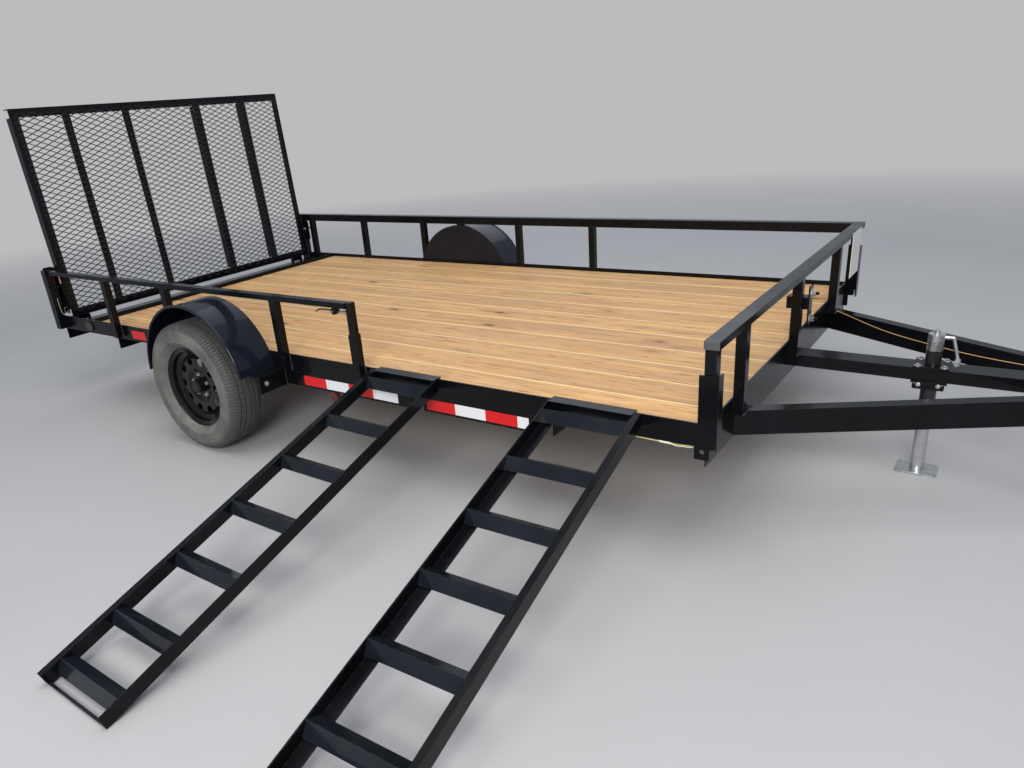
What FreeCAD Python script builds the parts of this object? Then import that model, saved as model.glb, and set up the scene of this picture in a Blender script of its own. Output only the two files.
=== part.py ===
import FreeCAD, Part
import math
import os

# Open utility trailer with a lift-up mesh gate, two hook-on side ramps and a screw jack.
# Millimetres. It is modelled with x = 0 at the front face of the frame, y = 0 on the
# centre plane and z = 0 on the ground, then moved so that the origin is the centre of
# the tow ball. +X is forward, +Y the trailer's left and +Z up.

V = FreeCAD.Vector

# Frame
FRAME_W = 2080.0
FRAME_L = 4216.0
FRAME_TOP = 518.0
SIDE_H = 85.0
SIDE_LEG = 50.0
STEEL_T = 6.0
SHEET_T = 3.0

# Timber deck
DECK_REAR_GAP = 374.0
DECK_DROP = 23.0
BOARD_T = 38.0
BOARD_COUNT = 11
BOARD_GAP = 4.0
BOARD_EDGE_GAP = 2.0

# Cross members
CROSS_H = 96.0
CROSS_LEG = 50.0
CROSS_T = 5.0
CROSS_REAR_IN = 235.0
CROSS_FRONT_X = -592.0
CROSS_COUNT = 6
REAR_MEMBER_LEG = 76.0

# Lower side bars that carry the reflective tape, as (rear, front) ends
REAR_BAR = (-425.0, -357.0)
MIDDLE_BAR_START = 483.0
MIDDLE_BAR_END = -1280.0
FRONT_BAR = (-1222.0, -645.0)

# Rails and their posts
RAIL = 50.0
RAIL_TOP = 822.0
FRONT_RAIL_H = 27.0
NEAR_RAIL_H = 25.0
NEAR_RAIL_TOP = 811.0
RAIL_WALL = 3.0
POST = 38.0
REAR_POST = 50.0
POST_FOOT = 71.0
SLEEVE_TOP = 671.0
SLEEVE_INNER = 30.0
NEAR_POSTS = (-3541.0, -2945.0, -2056.0)
NEAR_END_POST = -1558.0
FAR_POSTS = (-4063.0, -3483.0, -2882.0, -2540.0, -2054.0, -1502.0)
FRONT_POSTS = (-760.0, -50.0, 640.0)

# Front corner brackets
BRACKET_BACK = -15.0
BRACKET_FRONT = 50.0
BRACKET_LOW = 468.0
BRACKET_TOP = 705.0
TAB_BACK = -38.0
TAB_FRONT = 14.0
TAB_H = 78.0
TAB_HOLE_R = 9.0
TAB_HOLE_RISE = 28.0

# Tongue
TONGUE_HALF_ANGLE = 29.3
TONGUE_TIP_X = 1334.0
TONGUE_CUT_X = 1245.0
BEAM_W = 50.0
BEAM_H = 95.0
BEAM_WALL = 5.0
CENTER_BEAM_W = 101.0
CENTER_BEAM_H = 51.0

# Coupler
BALL_X = 1345.0
BALL_Z = 440.0
BALL_R = 25.4
BALL_GAP = 0.6
COUPLER_WALL = 5.0
COUPLER_BACK_X = 1080.0
COUPLER_TOP_GAP = 22.0

# Jack
JACK_X = 527.0
JACK_TUBE_R = 28.5
JACK_LEG_R = 25.0
JACK_WALL = 3.0
JACK_TUBE_TOP = 562.0
JACK_TUBE_BOTTOM = 305.0
JACK_CAP_H = 24.0
JACK_LEG_LAP = 15.0
JACK_FOOT = (150.0, 112.0, 8.0)
JACK_SLIP = 0.3
JACK_PLATE = (124.0, 116.0, 8.0)

# Spare wheel carrier
CARRIER_Y = -6.0
CARRIER_ARM = 50.0
CARRIER_ARM_BACK = -30.0
CARRIER_ARM_FRONT = 55.0
CARRIER_ARM_TOP = 700.0
CARRIER_BAR = (50.0, 6.0, 170.0)
CARRIER_STUD_Z = 660.0
CARRIER_STUD_R = 6.35
CARRIER_STUD_L = 30.0
CARRIER_STUD_SPACING = 108.7

# Wheels
WHEEL_FROM_REAR = 1641.0
WHEEL_OUT = 137.0
TYRE_R = 337.0
TYRE_W = 205.0
RIM_SEAT_R = 190.5
RIM_FLANGE_R = 207.5
RIM_W = 148.0
RIM_T = 3.0
DISC_Y = 18.0
DISC_T = 4.0
DISC_HOLES = 10
DISC_HOLE_R = 21.0
DISC_HOLE_PITCH_R = 132.0
HUB_FACE_R = 72.0
HUB_L = 88.0
HUB_CAP_R = 38.0
HUB_CAP_L = 46.0
SPINDLE_R = 22.0
SPINDLE_GAP = 0.3

# Axle and springs
AXLE_R = 30.0
SPRING_IN = 28.0
SPRING_W = 44.0
SPRING_HALF = 330.0
SPRING_CAMBER = 14.0
LEAF_T = 7.0
LEAF_SPANS = (1.0, 0.78, 0.56, 0.34)
SPRING_SEAT_H = 6.0
EYE_R = 13.0
HANGER_T = 5.0
HANGER_W = 46.0
EYE_DROP = 21.0
SPRING_ROOM = 12.0
SPRING_ROOM_L = 30.0

# Fenders
FENDER_AHEAD = 30.0
FENDER_Z = 377.0
FENDER_R = 387.0
FENDER_T = 2.5
FENDER_W = 210.0
FENDER_LIP_R = 7.0
FENDER_FRONT_RISE = 63.0
FENDER_REAR_RISE = 14.0
FENDER_BRACKET_OUT = 160.0
FENDER_BRACKET_H = 85.0
FENDER_BRACKET_L = 66.0

# Rear gate
GATE_HINGE_IN = 31.0
GATE_HINGE_DROP = 40.0
GATE_SIDE_GAP = 30.0
GATE_H = 1245.0
GATE_GAP = 22.0
GATE_FACE = 55.0
GATE_LEAN = 3.2
GATE_ANGLE = 50.0
GATE_T = 5.0
GATE_BARS = (-675.0, -275.0, 275.0, 675.0)
GATE_BAR_ANGLE = 50.0
MESH_LONG = 76.0
MESH_SHORT = 34.0
MESH_STRAND = 5.0
MESH_T = 1.6
MESH_LAP = 25.0
HINGE_FROM_SIDE = 80.0
HINGE_ROD_R = 8.0
HINGE_BARREL_R = 14.0
HINGE_BARREL_L = 80.0
HINGE_GAP = 0.3
HINGE_LUG_T = 8.0

# Gate latches
LATCH_Z = 705.0
LATCH_R = 11.0
LATCH_PIN_R = 6.0
LATCH_CLEAR = 6.0

# Side ramps
RAMP_CLEAR = 333.0
RAMP_CENTRES = {"ramp_rear": -1291.5, "ramp_front": -418.5}
RAMP_YAWS = {"ramp_rear": -0.7, "ramp_front": 1.5}
RAMP_ANGLE = 16.6
RAMP_RUN = 1600.0
RAMP_RAIL_H = 50.0
RAMP_TUBE_W = 25.0
RAMP_TUBE_WALL = 3.0
RAMP_LEG = 50.0
RAMP_T = 5.0
RAMP_RUNG_FIRST = 276.0
RAMP_RUNG_PITCH = 266.8
RAMP_RUNG_COUNT = 6
RAMP_FOOT_RUNG = 71.0
RUNG_LEG = 51.0
RUNG_TILT = 48.0
LIP_T = 5.0
LIP_IN = 18.0
LIP_OVER = 24.0
LIP_GAP = 0.3
LIP_OUT = 6.0
LIP_DROP = 40.0
FOOT_BAR = 10.0

# Lamps and the white panel at the front
SIDE_LAMP_FROM_REAR = 326.0
SIDE_LAMP = (80.0, 56.0, 8.0)
TAIL_LAMP_Y = 860.0
TAIL_LAMP = (150.0, 56.0, 12.0)
MARKER_X = -1775.0
MARKER_R = 24.0
MARKER_L = 22.0
MARKER_STRAP = 4.0
PANEL_FROM_SIDE = (230.0, 40.0)
PANEL_Z = (590.0, 812.0)

# Sizes worked out from those above
HALF_W = FRAME_W / 2
DECK_L = FRAME_L - DECK_REAR_GAP - STEEL_T - BOARD_EDGE_GAP
FRAME_BOTTOM = FRAME_TOP - SIDE_H
INNER_W = FRAME_W - 2 * STEEL_T
DECK_TOP = FRAME_TOP - DECK_DROP
CROSS_TOP = DECK_TOP - BOARD_T
CROSS_BOTTOM = CROSS_TOP - CROSS_H
BOARD_W = (INNER_W - 2 * BOARD_EDGE_GAP - (BOARD_COUNT - 1) * BOARD_GAP) / BOARD_COUNT
RAIL_BOTTOM = RAIL_TOP - RAIL
FRONT_RAIL_BOTTOM = RAIL_TOP - FRONT_RAIL_H
NEAR_RAIL_BOTTOM = NEAR_RAIL_TOP - NEAR_RAIL_H
POST_BOTTOM = FRAME_TOP - POST_FOOT
REAR_POST_BOTTOM = POST_BOTTOM - STEEL_T
HUB_Z = TYRE_R
DECK_FRONT = -STEEL_T - BOARD_EDGE_GAP
DECK_REAR = DECK_FRONT - DECK_L
CROSS_REAR_X = DECK_REAR + CROSS_REAR_IN
CROSS_PITCH = (CROSS_FRONT_X - CROSS_REAR_X) / (CROSS_COUNT - 1)
WHEEL_X = -FRAME_L + WHEEL_FROM_REAR
SIDE_LAMP_X = -FRAME_L + SIDE_LAMP_FROM_REAR
LOWER_BARS = ((WHEEL_X + REAR_BAR[0], WHEEL_X + REAR_BAR[1]),
              (WHEEL_X + MIDDLE_BAR_START, MIDDLE_BAR_END), FRONT_BAR)
PANEL_Y = (HALF_W - PANEL_FROM_SIDE[0], HALF_W - PANEL_FROM_SIDE[1])
WHEEL_Y = HALF_W + WHEEL_OUT
SPRING_Y = HALF_W - SPRING_IN
FENDER_X = WHEEL_X + FENDER_AHEAD
FENDER_OUT_Y = HALF_W + FENDER_W
GATE_W = FRAME_W - 2 * GATE_SIDE_GAP
GATE_HINGE_X = -FRAME_L + GATE_HINGE_IN
GATE_HINGE_Z = FRAME_TOP - GATE_HINGE_DROP
HINGE_Y = GATE_W / 2 - HINGE_FROM_SIDE
RAMP_FOOT_Y = -HALF_W - RAMP_RUN
BEAM_TOP = CROSS_TOP
CENTER_BOTTOM = BEAM_TOP - CENTER_BEAM_H
HINGE_LINE_Y = -HALF_W + STEEL_T
RAMP_TOP_Y = -HALF_W - LIP_OUT - RAMP_T
RAMP_L = (RAMP_TOP_Y - RAMP_FOOT_Y) / math.cos(math.radians(RAMP_ANGLE))


def block(x0, x1, y0, y1, z0, z1):
    """Box between two corners given in any order."""
    low = V(min(x0, x1), min(y0, y1), min(z0, z1))
    return Part.makeBox(abs(x1 - x0), abs(y1 - y0), abs(z1 - z0), low)


def prism(points, push):
    """Closed polygon pushed along a vector."""
    ring = [V(*p) for p in points]
    ring.append(ring[0])
    return Part.Face(Part.makePolygon(ring)).extrude(V(*push))


def rod(start, push, radius):
    direction = V(*push)
    return Part.makeCylinder(radius, direction.Length, V(*start), direction)


def pipe(start, push, outer, inner):
    return rod(start, push, outer).cut(rod(start, push, inner))


def mirrored(shape):
    """The same piece on the other side of the centre plane."""
    return shape.mirror(V(0, 0, 0), V(0, 1, 0))


def both_sides(shape):
    return [shape, mirrored(shape)]


def tube_x(x0, x1, y0, y1, z0, z1, wall):
    inner = block(x0, x1, y0 + wall, y1 - wall, z0 + wall, z1 - wall)
    return block(x0, x1, y0, y1, z0, z1).cut(inner)


def tube_y(x0, x1, y0, y1, z0, z1, wall):
    inner = block(x0 + wall, x1 - wall, y0, y1, z0 + wall, z1 - wall)
    return block(x0, x1, y0, y1, z0, z1).cut(inner)


def tube_z(x0, x1, y0, y1, z0, z1, wall):
    inner = block(x0 + wall, x1 - wall, y0 + wall, y1 - wall, z0, z1)
    return block(x0, x1, y0, y1, z0, z1).cut(inner)


def side_frame():
    """Left side member: an angle with its flat leg turned in at the bottom."""
    y_in = HALF_W - SIDE_LEG
    web = HALF_W - STEEL_T
    shelf = FRAME_BOTTOM + STEEL_T
    corners = [(HALF_W, FRAME_BOTTOM), (HALF_W, FRAME_TOP), (web, FRAME_TOP), (web, shelf),
               (y_in, shelf), (y_in, FRAME_BOTTOM)]
    return prism([(-FRAME_L, y, z) for y, z in corners], (FRAME_L, 0, 0))


def front_frame():
    """Front member between the side members, its flat leg turned back at the bottom."""
    shelf = FRAME_BOTTOM + STEEL_T
    corners = [(0, FRAME_BOTTOM), (0, FRAME_TOP), (-STEEL_T, FRAME_TOP), (-STEEL_T, shelf),
               (-SIDE_LEG, shelf), (-SIDE_LEG, FRAME_BOTTOM)]
    bar = prism([(x, -HALF_W + STEEL_T, z) for x, z in corners], (0, INNER_W, 0))
    for side in both_sides(side_frame()):
        bar = bar.cut(side)
    return bar


def spring_room():
    """Space that the cross members leave free round each leaf spring."""
    reach = SPRING_HALF + SPRING_ROOM_L
    room = block(WHEEL_X - reach, WHEEL_X + reach, SPRING_Y - SPRING_W / 2 - SPRING_ROOM, HALF_W, 0, FRAME_BOTTOM)
    return both_sides(room)


def cross_member(x, leg_way):
    """One angle across the frame, notched over the side members' flat legs."""
    flange = CROSS_TOP - CROSS_T
    corners = [(x, CROSS_BOTTOM), (x, CROSS_TOP), (x + leg_way * CROSS_LEG, CROSS_TOP),
               (x + leg_way * CROSS_LEG, flange), (x + leg_way * CROSS_T, flange),
               (x + leg_way * CROSS_T, CROSS_BOTTOM)]
    half = HALF_W - STEEL_T
    bar = prism([(px, -half, pz) for px, pz in corners], (0, 2 * half, 0))
    for solid in both_sides(side_frame()) + spring_room():
        bar = bar.cut(solid)
    return bar


def cross_members():
    places = [CROSS_REAR_X + k * CROSS_PITCH for k in range(CROSS_COUNT)]
    return [cross_member(x, 1) for x in places]


def front_cross_member():
    """Angle under the front member, which carries the tongue."""
    top = FRAME_BOTTOM
    corners = [(0, CROSS_BOTTOM), (0, top), (-CROSS_LEG, top), (-CROSS_LEG, top - CROSS_T),
               (-CROSS_T, top - CROSS_T), (-CROSS_T, CROSS_BOTTOM)]
    half = HALF_W - STEEL_T
    return prism([(x, -half, z) for x, z in corners], (0, 2 * half, 0))


def front_ledger():
    """Angle inside the front member that the boards' front ends rest on."""
    x = -STEEL_T
    low = FRAME_BOTTOM + STEEL_T
    shelf = CROSS_TOP - CROSS_T
    corners = [(x, low), (x, CROSS_TOP), (-SIDE_LEG, CROSS_TOP), (-SIDE_LEG, shelf), (x - CROSS_T, shelf),
               (x - CROSS_T, low)]
    half = HALF_W - SIDE_LEG
    return prism([(px, -half, pz) for px, pz in corners], (0, 2 * half, 0))


def deck_end_angle():
    """Angle that closes the rear end of the boards."""
    x = DECK_REAR - BOARD_EDGE_GAP
    drop = CROSS_TOP - CROSS_T
    corners = [(x, FRAME_TOP), (x - CROSS_T, FRAME_TOP), (x - CROSS_T, drop), (x + CROSS_LEG, drop),
               (x + CROSS_LEG, CROSS_TOP), (x, CROSS_TOP)]
    half = HALF_W - STEEL_T
    return prism([(px, -half, pz) for px, pz in corners], (0, 2 * half, 0))


def deck_boards():
    boards = []
    start = -INNER_W / 2 + BOARD_EDGE_GAP
    for k in range(BOARD_COUNT):
        y = start + k * (BOARD_W + BOARD_GAP)
        boards.append(block(DECK_REAR, DECK_FRONT, y, y + BOARD_W, CROSS_TOP, DECK_TOP))
    return boards


def lower_side_bars():
    """Flat bars under the side members, outside the cross members' ends."""
    bars = []
    for rear, front in LOWER_BARS:
        bars += both_sides(block(rear, front, HALF_W - STEEL_T, HALF_W, CROSS_BOTTOM, FRAME_BOTTOM))
    return bars


def far_rail():
    """Top rail of the left side, closed against the front rail."""
    return tube_x(-FRAME_L, 0, HALF_W, HALF_W + RAIL, RAIL_BOTTOM, RAIL_TOP, RAIL_WALL)


def near_rail():
    """Lighter rail of the right side, from the rear post to the rail's end post."""
    start = -FRAME_L + REAR_POST
    end = NEAR_END_POST - SLEEVE_INNER / 2
    return tube_x(start, end, -HALF_W - POST, -HALF_W, NEAR_RAIL_BOTTOM, NEAR_RAIL_TOP, RAIL_WALL)


def front_rail():
    reach = HALF_W + RAIL
    return tube_y(0, RAIL, -reach, reach, FRONT_RAIL_BOTTOM, RAIL_TOP, RAIL_WALL)


def side_post(x, side, size=POST, low_z=POST_BOTTOM):
    """Square upright against a side member, standing on the fender where it meets one."""
    low = min(side * HALF_W, side * (HALF_W + size))
    x0 = x - size / 2
    top = NEAR_RAIL_BOTTOM if side < 0 else RAIL_BOTTOM
    post = tube_z(x0, x0 + size, low, low + size, low_z, top, RAIL_WALL)
    arch = rod((FENDER_X, low - size, FENDER_Z), (0, 3 * size, 0), FENDER_R)
    return post.cut(arch)


def rear_post():
    """Right rear upright, as high as the rail that ends on it."""
    x0 = -FRAME_L
    y1 = -HALF_W
    return tube_z(x0, x0 + REAR_POST, y1 - REAR_POST, y1, REAR_POST_BOTTOM, NEAR_RAIL_TOP, RAIL_WALL)


def rear_posts():
    return [rear_post(), side_post(-FRAME_L + REAR_POST / 2, 1, REAR_POST, REAR_POST_BOTTOM)]


def rail_end_post():
    """Upright at the near rail's front end: a thin tube that drops into a sleeve."""
    x = NEAR_END_POST
    y = -HALF_W - POST / 2
    half = SLEEVE_INNER / 2
    inner = tube_z(x - half, x + half, y - half, y + half, SLEEVE_TOP - POST, NEAR_RAIL_TOP, RAIL_WALL)
    outer = POST / 2
    sleeve = tube_z(x - outer, x + outer, y - outer, y + outer, POST_BOTTOM, SLEEVE_TOP, outer - half)
    return inner.fuse(sleeve).removeSplitter()


def side_posts(places, side):
    return [side_post(x, side) for x in places]


def front_posts():
    half = POST / 2
    return [tube_z(0, POST, y - half, y + half, BEAM_TOP, FRONT_RAIL_BOTTOM, RAIL_WALL) for y in FRONT_POSTS]


def corner_posts():
    """Uprights at the front corners, outside the side members and tied to them by a plate."""
    post = tube_z(0, POST, HALF_W, HALF_W + POST, POST_BOTTOM, FRONT_RAIL_BOTTOM, RAIL_WALL)
    tie = block(-POST, POST, HALF_W, HALF_W + RAIL_WALL, POST_BOTTOM, FRAME_TOP)
    return both_sides(post.fuse(tie).removeSplitter())


def rail_caps():
    """Plates that close the open tube ends."""
    caps = []
    y0 = HALF_W
    y1 = HALF_W + RAIL
    caps.append(block(-FRAME_L - RAIL_WALL, -FRAME_L, y0, y1, RAIL_BOTTOM, RAIL_TOP))
    for side in (-1, 1):
        caps.append(block(0, RAIL, side * y1, side * (y1 + RAIL_WALL), FRONT_RAIL_BOTTOM, RAIL_TOP))
    x0 = -FRAME_L
    top = NEAR_RAIL_TOP
    caps.append(block(x0, x0 + REAR_POST, -HALF_W - REAR_POST, -HALF_W, top, top + RAIL_WALL))
    half = SLEEVE_INNER / 2
    y = -HALF_W - POST / 2
    caps.append(block(NEAR_END_POST - half, NEAR_END_POST + half, y - half, y + half, top, top + RAIL_WALL))
    return caps


def corner_brackets():
    """Upright angles round the front corner posts that hold the stowed ramps."""
    y_in = HALF_W + POST
    y_out = y_in + STEEL_T
    x_in = BRACKET_FRONT - STEEL_T
    face = block(BRACKET_BACK, BRACKET_FRONT, y_in, y_out, BRACKET_LOW, BRACKET_TOP)
    cheek = block(x_in, BRACKET_FRONT, HALF_W, y_in, BRACKET_LOW, BRACKET_TOP)
    return both_sides(face.fuse(cheek).removeSplitter())


def corner_tabs():
    """Plates with a hole under the front corners, for a tie-down shackle."""
    y0 = HALF_W
    y1 = HALF_W + STEEL_T
    low = BRACKET_LOW - TAB_H
    plate = block(TAB_BACK, TAB_FRONT, y0, y1, low, POST_BOTTOM)
    hole = rod(((TAB_BACK + TAB_FRONT) / 2, y0 - STEEL_T, low + TAB_HOLE_RISE), (0, 3 * STEEL_T, 0), TAB_HOLE_R)
    return both_sides(plate.cut(hole))


def tongue_side_beam():
    """Left beam of the A frame, a tube cut square to the frame and to the tip."""
    angle = math.radians(TONGUE_HALF_ANGLE)
    along = V(-math.cos(angle), math.sin(angle), 0)
    inward = V(-math.sin(angle), -math.cos(angle), 0)
    tip = V(TONGUE_TIP_X, 0, CROSS_TOP - BEAM_H)
    length = TONGUE_TIP_X / math.cos(angle) + BEAM_W
    start = tip - along * BEAM_W

    def bar(margin):
        a = start + inward * margin + V(0, 0, margin)
        b = start + inward * (BEAM_W - margin) + V(0, 0, margin)
        push = along * (length + 2 * BEAM_W)
        return prism([tuple(a), tuple(b), tuple(b + push), tuple(a + push)], (0, 0, BEAM_H - 2 * margin))

    beam = bar(0).cut(bar(BEAM_WALL))
    room = block(0, TONGUE_CUT_X, 0, 2 * HALF_W, 0, FRAME_TOP)
    half_center = CENTER_BEAM_W / 2
    slot = block(0, TONGUE_TIP_X, -half_center, half_center, CENTER_BOTTOM, BEAM_TOP)
    return beam.common(room).cut(slot)


def tongue_center_beam():
    """Flat tube down the middle of the tongue, bored for the jack."""
    half = CENTER_BEAM_W / 2
    beam = tube_x(0, TONGUE_CUT_X, -half, half, CENTER_BOTTOM, BEAM_TOP, BEAM_WALL)
    bore = rod((JACK_X, 0, 0), (0, 0, FRAME_TOP), JACK_TUBE_R + JACK_SLIP)
    return beam.cut(bore)


def coupler():
    """Pressed housing over the tip of the tongue with the ball socket in its nose."""
    top_z = BEAM_TOP
    angle = math.radians(TONGUE_HALF_ANGLE)
    back_half = (TONGUE_TIP_X - COUPLER_BACK_X) * math.tan(angle)
    nose_r = BALL_R + COUPLER_WALL
    plate_top = top_z + COUPLER_WALL
    nose_x = BALL_X
    plate = prism([(COUPLER_BACK_X, -back_half, top_z), (COUPLER_BACK_X, back_half, top_z),
                   (nose_x, nose_r, top_z), (nose_x, -nose_r, top_z)], (0, 0, COUPLER_WALL))
    dome = Part.makeSphere(nose_r, V(BALL_X, 0, BALL_Z))
    skirt = rod((BALL_X, 0, BALL_Z - BALL_R * 0.55), (0, 0, plate_top - BALL_Z + BALL_R * 0.55), nose_r)
    body = plate.fuse(dome.common(block(0, 2 * BALL_X, -BALL_X, BALL_X, BALL_Z, FRAME_TOP))).fuse(skirt)
    neck = block(TONGUE_CUT_X + SHEET_T, BALL_X, -nose_r, nose_r, BALL_Z - BALL_R * 0.55, top_z)
    hollow = block(TONGUE_CUT_X, BALL_X, -BALL_R, BALL_R, 0, top_z)
    body = body.fuse(neck.cut(hollow))
    ball = Part.makeSphere(BALL_R + BALL_GAP, V(BALL_X, 0, BALL_Z))
    mouth = rod((BALL_X, 0, 0), (0, 0, BALL_Z), BALL_R + BALL_GAP)
    return body.cut(ball).cut(mouth)


def coupler_latch():
    """Hand lever and its pivot lug on top of the housing."""
    x0 = BALL_X - 120.0
    z0 = BEAM_TOP + COUPLER_WALL
    half = 9.0
    lug = block(x0 + 52.0, x0 + 78.0, -half, half, z0, z0 + 34.0)
    lever = prism([(x0 - 70.0, -half, z0 + 34.0), (x0 + 78.0, -half, z0 + 30.0),
                   (x0 + 78.0, -half, z0 + 36.0), (x0 - 68.0, -half, z0 + 41.0)], (0, 2 * half, 0))
    return lug.fuse(lever).removeSplitter()


def jack_plates():
    """Clamp plates above and below the centre beam with the four bolts between them."""
    length, width, thick = JACK_PLATE
    solids = []
    for z in (BEAM_TOP, CENTER_BOTTOM - thick):
        plate = block(JACK_X - length / 2, JACK_X + length / 2, -width / 2, width / 2, z, z + thick)
        solids.append(plate.cut(rod((JACK_X, 0, 0), (0, 0, FRAME_TOP), JACK_TUBE_R + JACK_SLIP)))
    return solids


def jack_tube():
    """Outer tube with the gear case on its head."""
    height = JACK_TUBE_TOP - JACK_TUBE_BOTTOM
    inner = JACK_LEG_R + JACK_SLIP
    return pipe((JACK_X, 0, JACK_TUBE_BOTTOM), (0, 0, height), JACK_TUBE_R, inner)


def jack_head():
    """Hollow cap, crank shaft and crank."""
    top = JACK_TUBE_TOP + JACK_CAP_H
    cap = rod((JACK_X, 0, JACK_TUBE_TOP), (0, 0, JACK_CAP_H), JACK_TUBE_R)
    cap = cap.cut(rod((JACK_X, 0, 0), (0, 0, top - JACK_WALL), JACK_LEG_R + JACK_SLIP))
    nut = rod((JACK_X, 0, top), (0, 0, 14.0), 11.0)
    arm_z = JACK_TUBE_TOP + JACK_CAP_H / 2
    arm_start = JACK_X + JACK_TUBE_R - JACK_WALL / 2
    arm_end = JACK_X + 58.0
    arm = rod((arm_start, 0, arm_z), (arm_end - arm_start, 0, 0), 7.0)
    elbow = Part.makeSphere(7.0, V(arm_end, 0, arm_z))
    drop = rod((arm_end, 0, arm_z), (24.0, 0, -88.0), 6.0)
    knob = rod((arm_end + 24.0, 0, arm_z - 88.0), (0, -46.0, 0), 10.0)
    return cap.fuse([nut, arm, elbow, drop, knob]).removeSplitter()


def jack_leg():
    """Sliding inner tube with its foot plate."""
    length, width, thick = JACK_FOOT
    top = JACK_TUBE_BOTTOM + JACK_LEG_LAP
    plate = block(JACK_X - length / 2, JACK_X + length / 2, -width / 2, width / 2, 0, thick)
    uprights = [e for e in plate.Edges if abs(e.tangentAt(e.FirstParameter).z) > 0.9]
    tube = pipe((JACK_X, 0, thick), (0, 0, top - thick), JACK_LEG_R, JACK_LEG_R - JACK_WALL)
    return tube.fuse(plate.makeFillet(14.0, uprights)).removeSplitter()


def spare_carrier():
    """Arm beside the middle front post with the upright bar and its two wheel studs."""
    half = CARRIER_ARM / 2
    y0 = CARRIER_Y - half
    y1 = CARRIER_Y + half
    bottom = CARRIER_ARM_TOP - CARRIER_ARM
    front = CARRIER_ARM_FRONT
    arm = tube_x(CARRIER_ARM_BACK, front, y0, y1, bottom, CARRIER_ARM_TOP, RAIL_WALL)
    width, thick, height = CARRIER_BAR
    low = CARRIER_STUD_Z - height / 2
    solid = arm.fuse(block(front, front + thick, CARRIER_Y - width / 2, CARRIER_Y + width / 2, low, low + height))
    for rise in (-CARRIER_STUD_SPACING / 2, CARRIER_STUD_SPACING / 2):
        stud = rod((front, CARRIER_Y, CARRIER_STUD_Z + rise), (thick + CARRIER_STUD_L, 0, 0), CARRIER_STUD_R)
        solid = solid.fuse(stud)
    return solid.removeSplitter()


def turned(points, y, closed=True):
    """Profile of (radius, offset) points turned about the wheel's axis at side offset y."""
    ring = [V(WHEEL_X, y + offset, HUB_Z + radius) for radius, offset in points]
    if closed:
        ring.append(ring[0])
    face = Part.Face(Part.makePolygon(ring))
    return face.revolve(V(WHEEL_X, 0, HUB_Z), V(0, 1, 0), 360)


def tyre():
    """Left tyre: crowned tread, round shoulders and bulged walls, open to the rim."""
    half = TYRE_W / 2
    bead = RIM_SEAT_R + 0.3
    outer = [(bead, 0.57 * half), (bead + 20.0, 0.66 * half), (bead + 42.0, 0.93 * half),
             (bead + 68.0, half), (bead + 98.0, 0.96 * half), (TYRE_R - 18.0, 0.85 * half),
             (TYRE_R - 6.0, 0.73 * half), (TYRE_R, 0.4 * half)]
    inner = [(TYRE_R - 13.0, 0.4 * half), (TYRE_R - 26.0, 0.74 * half), (bead + 68.0, 0.9 * half),
             (bead + 30.0, 0.66 * half), (bead, 0.47 * half)]
    right = outer + inner
    points = [(r, o) for r, o in outer] + [(r, -o) for r, o in reversed(outer)]
    points += [(r, -o) for r, o in reversed(inner)] + [(r, o) for r, o in inner]
    return turned(points, WHEEL_Y)


def rim():
    """Left wheel: rolled barrel with a drop centre and a pierced disc."""
    half = RIM_W / 2
    seat = RIM_SEAT_R
    outer = [(RIM_FLANGE_R, half), (RIM_FLANGE_R, half - 6.0), (seat, half - 14.0), (seat - 3.0, half - 36.0),
             (seat - 24.0, half - 50.0), (seat - 24.0, -half + 60.0), (seat - 3.0, -half + 36.0),
             (seat, -half + 14.0), (RIM_FLANGE_R, -half + 6.0), (RIM_FLANGE_R, -half)]
    inner = [(r - RIM_T if 0 < k < len(outer) - 1 else r - RIM_T, o) for k, (r, o) in enumerate(outer)]
    inner[0] = (RIM_FLANGE_R - RIM_T, half)
    inner[1] = (RIM_FLANGE_R - RIM_T - 2.0, half - 5.0)
    inner[-1] = (RIM_FLANGE_R - RIM_T, -half)
    inner[-2] = (RIM_FLANGE_R - RIM_T - 2.0, -half + 5.0)
    barrel = turned(outer + list(reversed(inner)), WHEEL_Y)
    edge = seat - 24.0 - RIM_T
    disc = turned([(HUB_CAP_R + 4.0, DISC_Y), (HUB_FACE_R, DISC_Y), (HUB_FACE_R + 22.0, DISC_Y + 14.0),
                   (edge - 22.0, DISC_Y + 14.0), (edge, DISC_Y - 6.0), (edge, DISC_Y - 6.0 + DISC_T + 2.0),
                   (edge - 20.0, DISC_Y + 14.0 + DISC_T), (HUB_FACE_R + 20.0, DISC_Y + 14.0 + DISC_T),
                   (HUB_FACE_R - 2.0, DISC_Y + DISC_T), (HUB_CAP_R + 4.0, DISC_Y + DISC_T)], WHEEL_Y)
    for k in range(DISC_HOLES):
        angle = 2 * math.pi * k / DISC_HOLES
        x = WHEEL_X + DISC_HOLE_PITCH_R * math.cos(angle)
        z = HUB_Z + DISC_HOLE_PITCH_R * math.sin(angle)
        disc = disc.cut(rod((x, WHEEL_Y, z), (0, RIM_W, 0), DISC_HOLE_R))
    return barrel.fuse(disc).removeSplitter()


def hub():
    """Left hub: bored body, wheel face and bearing cap."""
    face_y = WHEEL_Y + DISC_Y
    bore = SPINDLE_R + SPINDLE_GAP
    back = face_y - HUB_L
    points = [(bore, back), (50.0, back), (50.0, face_y - 14.0), (HUB_FACE_R, face_y - 12.0), (HUB_FACE_R, face_y),
              (HUB_CAP_R, face_y), (HUB_CAP_R - 2.0, face_y + HUB_CAP_L - 6.0), (HUB_CAP_R - 10.0, face_y + HUB_CAP_L),
              (0, face_y + HUB_CAP_L), (0, face_y + 12.0), (bore, face_y + 12.0)]
    return turned([(r, o) for r, o in points], 0)


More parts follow.
